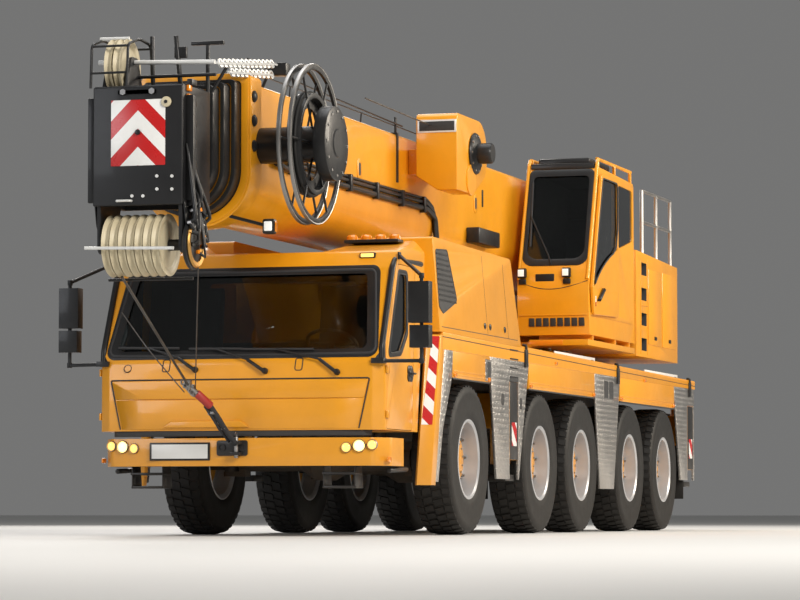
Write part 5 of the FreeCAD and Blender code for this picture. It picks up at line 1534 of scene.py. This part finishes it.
            # The keyhole is a black prism inside its ring: painted shade in the oval hole.
            fittings.append(prism("keyhole", oblong(x, z, 0.028, 0.060, 0.026), "side", 0.426, 0.430,
                "trim_black", 0.0))
        fit("boom_fittings", fittings, "boom", "dark_paint")


HEAD_FRONT = 4.730
SHEAVE_LINE = (4.550, 2.320)


class CRANE_OT_boom_head(bpy.types.Operator):
    """Boom head with its front plate, warning board, sheaves, guards and upper rail"""
    bl_idname = "crane.boom_head"
    bl_label = "Boom head"

    def execute(self, context):
        parts = loose_parts("boom_fly")
        head = None
        for part in parts:
            xs = [v.co.x for v in part.data.vertices]
            if min(xs) > AXLE1 + 4.0:
                head = part
            else:
                bpy.data.objects.remove(part)
        dress_with(head, "boom_head", "head_black")
        soften(head, 0.008, 3, 30)
        tube = band("fly_tube", boom_ring(5, 0), boom_ring(5, -BOOM_WALL), "front", BOOM[5][3],
            BOOM[5][4], "crane_yellow")
        piece = joined("boom_head_skin", [head, tube])
        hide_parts("boom_fly")
        mount(piece, "boom_tip", "dark_paint")
        mount(skin("head_sheaves", "sheave_cream", 0.004), "boom_tip", "sheave_nylon")
        self.front_plate()
        self.upper_rail()
        self.guards()
        return {"FINISHED"}

    def front_plate(self):
        x = HEAD_FRONT
        pieces = [block("head_plate", at(x - 0.02, -0.385, 2.625), at(x + 0.012, 0.375, 3.575),
            "head_black", 0.012, 3)]
        board = block("warning_board", at(x + 0.010, -0.230, 2.940), at(x + 0.018, 0.230, 3.465),
            "chevron_board", 0.004)
        pieces += [bar("board_knob", at(x + 0.010, 0.0, 3.205), at(x + 0.034, 0.0, 3.205), 0.022,
            "satin_black", 20, 0.003), bar("head_disc", at(x + 0.010, 0.240, 3.440),
            at(x + 0.030, 0.240, 3.440), 0.042, "sheave_cream", 28, 0.005),
            bar("head_disc_pin", at(x + 0.028, 0.240, 3.440), at(x + 0.036, 0.240, 3.440), 0.014,
            "satin_black", 20), prism("head_link", ((-0.170, 3.500, 0.03), (-0.020, 3.520),
            (0.040, 3.520), (0.150, 3.500, 0.03), (0.150, 3.552, 0.03), (0.040, 3.540), (-0.020, 3.540),
            (-0.170, 3.552, 0.03)), "front", x + 0.010, x + 0.020, "satin_black", 0.003)]
        for y in (-0.125, 0.120):
            pieces.append(nut("head_bolt", at(x + 0.018, y, 3.528), (1, 0, 0), 0.026, 0.018))
        for y, z in ((0.162, 2.853), (0.289, 2.849), (0.163, 2.750), (0.289, 2.746), (-0.048, 2.700),
                (0.045, 2.698)):
            pieces.append(nut("plate_bolt", at(x + 0.012, y, z), (1, 0, 0), 0.014, 0.010, "zinc_white"))
        pieces.append(pipe("plate_handle", (at(x + 0.01, -0.175, 2.662), at(x + 0.040, -0.170, 2.662),
            at(x + 0.040, -0.060, 2.662), at(x + 0.01, -0.055, 2.662)), 0.010, "zinc_white", bend=0.02))
        for y0, y1 in ((-0.46, -0.385), (0.375, 0.44)):
            pieces.append(block("plate_wing", at(x - 0.10, y0, 2.66), at(x - 0.06, y1, 3.50),
                "head_black", 0.010))
        mount(board, "boom_tip", "sheave_nylon")
        fit("head_plate_fittings", pieces, "boom_tip", "dark_paint")

    def upper_rail(self):
        """Light rail over the head with two rows of links, hooks and the upper sheaves' guards."""
        pieces = [bar("rail", at(4.40, -0.476, 3.820), at(4.40, 0.519, 3.790), 0.018, "zinc_white", 16),
            bar("rail", at(4.32, -0.44, 3.70), at(4.32, 0.50, 3.70), 0.014, "satin_black", 16)]
        for x0, z0, count, step, rise in ((4.14, 3.815, 27, 0.052, 0.0062),
                (3.86, 3.775, 20, 0.053, 0.0055)):
            for k in range(count):
                turn = (0.15, 1.0, 0.25) if k % 2 else (0.0, 0.25, 1.0)
                pieces.append(lathe("hose_link", ((0.024, -0.008), (0.038, -0.008), (0.038, 0.008),
                    (0.024, 0.008)), at(x0 - step * k, 0.45, z0 + rise * k), turn, "zinc_white", 16))
        for x in (3.9, 3.3, 2.85):
            pieces.append(bar("link_post", at(x, 0.30, 3.60), at(x, 0.44, 3.80 + (4.1 - x) * 0.1), 0.014,
                "satin_black", 12))
        pieces.append(block("link_end", at(2.66, 0.36, 3.88), at(2.78, 0.56, 3.99), "satin_black", 0.012))
        for y in (-0.44, -0.13):
            pieces.append(pipe("sheave_cage", (at(4.10, y, 3.60), at(4.14, y, 3.98), at(4.40, y, 4.00),
                at(4.64, y, 3.93), at(4.66, y, 3.58)), 0.012, "satin_black", bend=0.12))
        for x, z in ((4.15, 3.95), (4.62, 3.92), (4.66, 3.70)):
            pieces.append(bar("cage_bar", at(x, -0.44, z), at(x, -0.13, z), 0.010, "satin_black", 12))
        pieces.append(bar("cage_bar", at(4.45, -0.445, 4.003), at(4.45, -0.195, 4.000), 0.014,
            "zinc_white", 12))
        pieces += [bar("horn", at(4.20, -0.085, 3.58), at(4.20, -0.095, 4.045), 0.018, "satin_black", 12,
            0.004), bar("horn", at(4.22, 0.165, 3.58), at(4.20, 0.110, 4.040), 0.020, "satin_black", 12,
            0.004), block("horn_plate", at(4.18, 0.100, 3.86), at(4.22, 0.205, 3.95), "satin_black",
            0.008), block("cross_beam", at(3.98, 0.170, 3.985), at(4.02, 0.450, 4.015), "satin_black",
            0.006), bar("beam_post", at(4.00, 0.310, 3.58), at(4.00, 0.310, 3.99), 0.016, "satin_black",
            12)]
        for z in (3.486, 3.557):
            pieces.append(block("marker_lamp", at(4.59, 0.374, z - 0.024), at(4.66, 0.400, z + 0.024),
                "lamp_amber", 0.006))
        fit("head_rail", pieces, "boom_tip", "dark_paint")

    def guards(self):
        """Guard rod, keeper ring, hoses and couplings beside the lower sheaves."""
        x, z = SHEAVE_LINE
        pieces = [bar("rope_guard", at(x + 0.262, -0.42, z - 0.03), at(x + 0.262, 0.33, z - 0.045), 0.013,
            "zinc_white", 16), bar("rope_guard", at(x - 0.10, -0.36, z - 0.262),
            at(x - 0.10, 0.36, z - 0.262), 0.012, "satin_black", 16)]
        keeper = lathe("keeper_disc", ((0, 0), (0.195, 0), (0.205, 0.010), (0.205, 0.030), (0.180, 0.040),
            (0.080, 0.045), (0.0, 0.045)), at(x, 0.375, z), (0, 1, 0), "satin_black", 48)
        ring = lathe("keeper_ring", ((0.140, 0.036), (0.182, 0.036), (0.188, 0.046), (0.176, 0.058),
            (0.140, 0.054)), at(x, 0.375, z), (0, 1, 0), "brass", 48)
        pieces += [keeper, ring]
        rng = random.Random(7)
        for k in range(16):
            a = rng.uniform(0, 6.28)
            start = at(x + 0.15 * math.cos(a), 0.43, z + 0.12 + 0.18 * math.sin(a))
            mid = start + Vector((rng.uniform(-0.06, 0.06), rng.uniform(0.02, 0.07),
                rng.uniform(-0.08, 0.12)))
            end = at(x - 0.20 + 0.022 * k, 0.385, z + 0.34 + 0.03 * k)
            pieces.append(pipe("head_hose", (start, mid, end), 0.010 + 0.004 * (k % 3), "satin_black",
                resolution=5))
            pieces.append(nut("coupling", start - Vector((0, 0.02, 0)), (0.3, 1, 0), 0.017, 0.035,
                ("lamp_amber", "brass", "bare_steel", "satin_black")[k % 4]))
        for k in range(7):
            height = z + 0.30 + 0.16 * k
            pieces.append(block("hose_clamp", at(x - 0.02, 0.374, height),
                at(x + 0.10, 0.420, height + 0.05), "satin_black", 0.008))
        for y in (0.398, 0.412):
            pieces.append(pipe("rising_hose", (at(x + 0.02, y, z + 0.20), at(x + 0.05, y + 0.01, 3.00),
                at(x + 0.03, y, 3.50)), 0.012, "satin_black"))
        for y in (-0.372, 0.372):
            s = 1 if y > 0 else -1
            plate = prism("cheek_cover", ((4.20, 2.66), (4.26, 2.42, 0.05), (4.66, 2.42, 0.10),
                (4.72, 2.66)), "side", y, y + s * 0.010, "head_black", 0.003)
            pieces.append(plate)
        fit("head_guards", pieces, "boom_tip", "dark_paint")


DRUM = (3.190, 0.9075, 3.240)
DRUM_HUB_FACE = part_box("hose_drum")[1][1]


class CRANE_OT_hose_drum(bpy.types.Operator):
    """Spoked hose drum on the boom's side with its coiled hose, hub and work lamp"""
    bl_idname = "crane.hose_drum"
    bl_label = "Hose drum"

    def execute(self, context):
        mount(skin("hose_drum", "satin_black", 0.004), "boom", "dark_paint")
        x, y, z = DRUM
        centre = at(x, y, z)
        profile = []
        for k in range(2):
            d = -0.016 + 0.032 * k
            profile += [(0.426, d - 0.015), (0.438, d - 0.009), (0.442, d), (0.438, d + 0.009),
                (0.426, d + 0.015)]
        hose = lathe("drum_hose", profile + [(0.415, 0.034), (0.415, -0.034)], centre, (0, 1, 0),
            "rubber", 72, 60)
        pieces = [hose]
        web = lathe("drum_web", ((0.300, -0.004), (0.384, -0.004), (0.384, 0.004), (0.300, 0.004)),
            centre, (0, 1, 0), "satin_black", 64)
        rim = [lathe("drum_lip", ((0.654, -0.013), (0.664, -0.015), (0.668, 0), (0.664, 0.015),
            (0.654, 0.013)), at(x, near, z), (0, 1, 0), "bare_steel", 72) for near in (0.860, 0.955)]
        face = at(x, DRUM_HUB_FACE, z)
        cap = lathe("drum_cap", ((0.0, -0.010), (0.302, -0.010), (0.310, 0.0), (0.300, 0.006),
            (0.120, 0.008), (0.110, 0.018), (0.0, 0.020)), face, (0, 1, 0), "satin_black", 64)
        bolts = round_copies(nut("cap_bolts", face + Vector((0.265, 0.004, 0)), (0, 1, 0), 0.013, 0.010),
            12, centre, (0, 1, 0))
        pieces += [web, cap, bolts] + rim
        fit("hose_drum_fittings", pieces, "boom", "dark_paint")
        lamp = [bar("lamp_arm", at(3.44, 0.30, 2.640), at(3.42, 0.640, 2.548), 0.014, "satin_black", 12)]
        lamp += [block("lamp_case", at(3.400, 0.592, 2.482), at(3.480, 0.702, 2.608), "satin_black",
            0.020), block("lamp_face", at(3.474, 0.612, 2.506), at(3.490, 0.682, 2.586), "lamp_white",
            0.008), block("lamp_side", at(3.415, 0.700, 2.500), at(3.465, 0.708, 2.590), "lamp_amber",
            0.004)]
        fit("work_lamp_unit", lamp, "boom", "dark_paint")
        return {"FINISHED"}


class CRANE_OT_reeving_winch(bpy.types.Operator):
    """Reeving winch box with its dark hub, framed rope slot and rope lead"""
    bl_idname = "crane.reeving_winch"
    bl_label = "Reeving winch"

    def execute(self, context):
        case = skin("reeving_winch", "crane_yellow", 0.012, 3)
        repaint(case, "satin_black", lambda c, n: c.y > 0.964)
        mount(case, "boom", "yellow_paint")
        centre = at(-1.59, 0.982, 3.64)
        rim = lathe("winch_rim", ((0, -0.018), (0.196, -0.018), (0.202, -0.006), (0.194, 0.008),
            (0.150, 0.012), (0.110, 0.030), (0.0, 0.030)), centre, (0, 1, 0), "satin_black", 56)
        bolts = round_copies(nut("winch_bolts", centre + Vector((0.172, 0.008, 0)), (0, 1, 0), 0.012,
            0.010), 10, centre, (0, 1, 0))
        motor = lathe("winch_motor", ((0, 0.02), (0.096, 0.02), (0.100, 0.060), (0.100, 0.150),
            (0.088, 0.168), (0, 0.170)), centre, (0, 1, 0), "satin_black", 40)
        disc = lathe("winch_disc", ((0, -0.016), (0.150, -0.016), (0.150, 0.006), (0.142, 0.012),
            (0, 0.012)), at(-1.46, 0.966, 3.375), (0, 1, 0), "crane_yellow", 48)
        # The rope slot is a black block in its white frame: painted shade in the slot.
        slot = [block("slot_frame", at(-1.010, 0.575, 3.790), at(-0.990, 0.955, 3.912), "zinc_white",
            0.004), block("winch_slot", at(-0.998, 0.592, 3.806), at(-0.986, 0.938, 3.896), "trim_black",
            0.003)]
        lead = bar("winch_rope", at(-1.02, 0.70, 3.86), at(0.9, 0.66, 3.90), 0.007, "rope_steel", 10)
        fit("winch_fittings", [rim, bolts, motor, disc, lead] + slot, "boom", "dark_paint")
        return {"FINISHED"}


# Rigging

def strand_rope(name, points, radius, material="rope_steel"):
    return pipe(name, points, radius, material, sides=10, resolution=8)


# Rope's start at the head, its socket, the sleeve's lower end and the tow plate's pin
ROPE_PLACES = ((4.600, -0.188, 2.071), (2.900, -0.259, 1.262), (2.760, -0.127, 1.110),
    (2.455, 0.002, 0.785))


class CRANE_OT_rigging(bpy.types.Operator):
    """Tight hoist rope from the head to its socket, and the sling that holds it to the tow plate"""
    bl_idname = "crane.rigging"
    bl_label = "Rigging"

    def execute(self, context):
        r = sizes().rope_radius
        top, socket, end, hook = [at(*place) for place in ROPE_PLACES]
        pieces = [strand_rope("hoist_rope", (top, (top + socket) / 2, socket), r)]
        run = (end - socket).normalized()
        half = socket + (end - socket) * 0.45
        pieces += [bar("rope_socket", socket - run * 0.03, half, 0.026, "bare_steel", 20, 0.006),
            bar("sling_sleeve", half - run * 0.02, end + run * 0.02, 0.036, "hook_red", 20, 0.010),
            bar("socket_pin", socket - Vector((0, 0.05, 0)), socket + Vector((0, 0.05, 0)), 0.016,
            "bare_steel", 16), block("socket_wedge", socket - Vector((0.03, 0.022, 0.03)),
            socket + Vector((0.03, 0.022, 0.05)), "bare_steel", 0.008)]
        reach = hook - end
        bow = [end, end + reach * 0.33 + Vector((0.015, 0.012, -0.010)),
            end + reach * 0.66 + Vector((0.012, -0.008, 0)), hook]
        pieces.append(strand_rope("hook_sling", bow, 0.024, "seat_cloth"))
        side_bow = [p + Vector((0.01, -0.035, -0.012)) for p in bow[:3]] + [hook
            + Vector((0, -0.06, 0.02))]
        pieces.append(strand_rope("hook_sling", side_bow, 0.014, "seat_cloth"))
        for k in range(5):
            pieces.append(lathe("shackle", ((0.014, -0.006), (0.028, -0.006), (0.028, 0.006),
                (0.014, 0.006)), socket + Vector((0.02, -0.045 + 0.022 * k, 0.035 - 0.026 * k)),
                (0.4, 1, 0.3 * k), "bare_steel", 16))
        for share, size in ((0.22, 0.020), (0.46, 0.018), (0.62, 0.014)):
            spot = end + reach * share
            pieces.append(nut("sling_bolt", spot + Vector((0.02, -0.05, 0)), (0.3, 1, 0.2), size, 0.06))
        pieces.append(strand_rope("guide_line", (at(4.745, 0.520, 2.420), at(3.80, 0.150, 1.830),
            at(2.86, -0.215, 1.240)), 0.005))
        pieces.append(strand_rope("guide_line", (at(2.420, -1.060, 1.925), at(2.60, -0.72, 1.560),
            at(2.86, -0.315, 1.215)), 0.005))
        fit("hoist_rigging", pieces, "boom_tip", "drum_steel")
        return {"FINISHED"}


BARREL_FOOT = (-6.330, 0.0, 2.180)
ROD_EYE = (-2.670, 0.0, 2.430)
BARREL_LENGTH = 3.2985


class CRANE_OT_lift_cylinder(bpy.types.Operator):
    """Lift cylinder barrel, rod and gland"""
    bl_idname = "crane.lift_cylinder"
    bl_label = "Lift cylinder"

    def execute(self, context):
        mount(skin("lift_cylinder_barrel", "crane_yellow", 0.008), "lift_cylinder_barrel", "yellow_paint")
        mount(skin("lift_cylinder_rod", "rod_chrome", 0.004), "lift_cylinder_rod", "cylinder_rod")
        foot, eye = at(*BARREL_FOOT), at(*ROD_EYE)
        run = (eye - foot).normalized()
        end = foot + run * BARREL_LENGTH
        gland = lathe("cylinder_gland", ((0.108, -0.10), (0.160, -0.10), (0.166, -0.08), (0.166, 0.010),
            (0.158, 0.024), (0.108, 0.024)), end, run, "crane_yellow", 56)
        bolts = round_copies(nut("gland_bolts", end + run * 0.020 + run.orthogonal().normalized() * 0.135,
            run, 0.012, 0.012, "bare_steel"), 12, end, run)
        side = Vector((0, 1, 0))
        feed = pipe("cylinder_pipe", (foot + run * 0.35 + side * 0.145, foot + run * 0.38 + side * 0.175,
            foot + run * 3.10 + side * 0.175, foot + run * 3.16 + side * 0.140), 0.014, "satin_black",
            bend=0.03)
        fit("cylinder_fittings", [gland, bolts, feed], "lift_cylinder_barrel", "yellow_paint")
        return {"FINISHED"}


class CRANE_OT_outriggers(bpy.types.Operator):
    """Sliding outrigger beams, their end plates, jacks and pads"""
    bl_idname = "crane.outriggers"
    bl_label = "Outriggers"

    def execute(self, context):
        for place in ("front", "rear"):
            for side_name, side in SIDES:
                beam, jack = ("outrigger_%s_%s_%s" % (kind, place, side_name)
                    for kind in ("beam", "jack"))
                arm = skin(beam, "crane_yellow", 0.008)
                repaint(arm, "satin_black", lambda c, n: abs(c.y) > HALF_WIDTH - 0.03 and abs(n.y) > 0.5)
                mount(arm, beam, "yellow_paint")
                rod = skin(jack, "rod_chrome", 0.006)
                pad_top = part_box(jack)[0][2] + 0.062
                repaint(rod, "satin_black", lambda c, n: c.z < pad_top)
                mount(rod, jack, "cylinder_rod")
                low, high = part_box(beam)
                x = (low[0] + high[0]) / 2
                y = side * (HALF_WIDTH + 0.0005)
                board = block("end_board_%s_%s" % (place, side_name), (x - 0.085, y, 0.832),
                    (x + 0.085, y + side * 0.002, 1.056), "end_stripes", 0.0)
                mount(board, beam, "yellow_paint")
        for i in (1, 2, 4, 5):
            for side_name, side in SIDES:
                node = "knuckle_%d_%s" % (i, side_name)
                mount(skin(node, "cast_grey", 0.006), body_of(node), "cast_metal")
        return {"FINISHED"}


# Stage

CAMERA_PLACE = (32.282, 9.914, 0.202)
CAMERA_AHEAD = (-0.95380, -0.29398, 0.06201)
CAMERA_LENS = 153.93


class CRANE_OT_stage(bpy.types.Operator):
    """Pale floor, soft lights and the camera at the photograph's viewing angle"""
    bl_idname = "crane.stage"
    bl_label = "Stage"

    def execute(self, context):
        select()
        bpy.ops.mesh.primitive_plane_add(size=400, location=(0, 0, 0))
        floor = context.object
        made, tree, shader = new_material("studio_floor")
        patches = use_group(tree, "patches", {"Scale": 0.35, "Contrast": 0.5})
        base = colours().floor
        tree.links.new(mix_colour(tree, patches, tuple(base), tuple(c * 0.93 for c in base)),
            shader.inputs["Base Color"])
        tree.links.new(mix_value(tree, patches, 0.55, 0.7), shader.inputs["Roughness"])
        floor.name = "studio_floor"
        floor.data.materials.append(made)
        power = sizes().light_power
        # Place, aim, size in metres, watts and colour of each soft light
        rows = (((17, 15, 12), (2, 0, 1.5), 8, 4200, (1.0, 0.95, 0.88)),
            ((22, -14, 7), (2, 0, 1.5), 9, 1300, (0.92, 0.95, 1.0)), ((-9, 15, 9), (-1, 0, 1.5), 7, 3000,
            (1.0, 0.90, 0.76)), ((0, 0, 16), (0, 0, 0), 12, 1500, (1, 1, 1)),
            ((-16, -8, 10), (0, 0, 1.5), 8, 1500, (1.0, 0.94, 0.88)))
        for place, aim, size, watts, tint in rows:
            select()
            bpy.ops.object.light_add(type="AREA", location=place)
            light = context.object
            light.data.shape = "SQUARE"
            light.data.size = size
            light.data.energy = watts * power
            light.data.color = tint
            light.rotation_euler = (Vector(aim) - Vector(place)).to_track_quat("-Z", "Y").to_euler()
        world = bpy.data.worlds.new("studio") if context.scene.world is None else context.scene.world
        context.scene.world = world
        world.use_nodes = True
        sky = world.node_tree.nodes["Background"]
        sky.inputs[0].default_value = (0.80, 0.80, 0.79, 1.0)
        sky.inputs[1].default_value = 0.22
        context.scene.view_settings.view_transform = "Standard"
        select()
        bpy.ops.object.camera_add(location=CAMERA_PLACE)
        camera = context.object
        camera.rotation_euler = Vector(CAMERA_AHEAD).to_track_quat("-Z", "Y").to_euler()
        camera.data.lens = CAMERA_LENS
        camera.data.sensor_width = 36.0
        camera.data.clip_end = 500.0
        context.scene.camera = camera
        return {"FINISHED"}


OPERATORS = (CRANE_OT_stage, CRANE_OT_wheels, CRANE_OT_carrier_sides, CRANE_OT_carrier_cab,
    CRANE_OT_cab_doors, CRANE_OT_cab_interior, CRANE_OT_bumper, CRANE_OT_mirrors, CRANE_OT_engine,
    CRANE_OT_superstructure, CRANE_OT_crane_cab, CRANE_OT_boom, CRANE_OT_boom_head, CRANE_OT_hose_drum,
    CRANE_OT_reeving_winch, CRANE_OT_rigging, CRANE_OT_lift_cylinder, CRANE_OT_outriggers)


class CRANE_PT_build(bpy.types.Panel):
    """Sidebar panel that lists the crane's pieces and settings"""
    bl_idname = "CRANE_PT_build"
    bl_label = "Mobile crane"
    bl_space_type = "VIEW_3D"
    bl_region_type = "UI"
    bl_category = "Crane"

    def draw(self, context):
        layout = self.layout
        for group in (context.scene.crane_sizes, context.scene.crane_colours):
            for key in group.__annotations__:
                layout.prop(group, key)
        for operator in OPERATORS:
            layout.operator(operator.bl_idname)


CLASSES = (CRANE_PG_sizes, CRANE_PG_colours) + OPERATORS + (CRANE_PT_build,)


def register():
    for cls in CLASSES:
        bpy.utils.register_class(cls)
    bpy.types.Scene.crane_sizes = bpy.props.PointerProperty(type=CRANE_PG_sizes)
    bpy.types.Scene.crane_colours = bpy.props.PointerProperty(type=CRANE_PG_colours)


def unregister():
    del bpy.types.Scene.crane_colours
    del bpy.types.Scene.crane_sizes
    for cls in reversed(CLASSES):
        bpy.utils.unregister_class(cls)


def main():
    register()
    for operator in OPERATORS:
        group, name = operator.bl_idname.split(".")
        getattr(getattr(bpy.ops, group), name)()


if __name__ == "__main__":
    main()
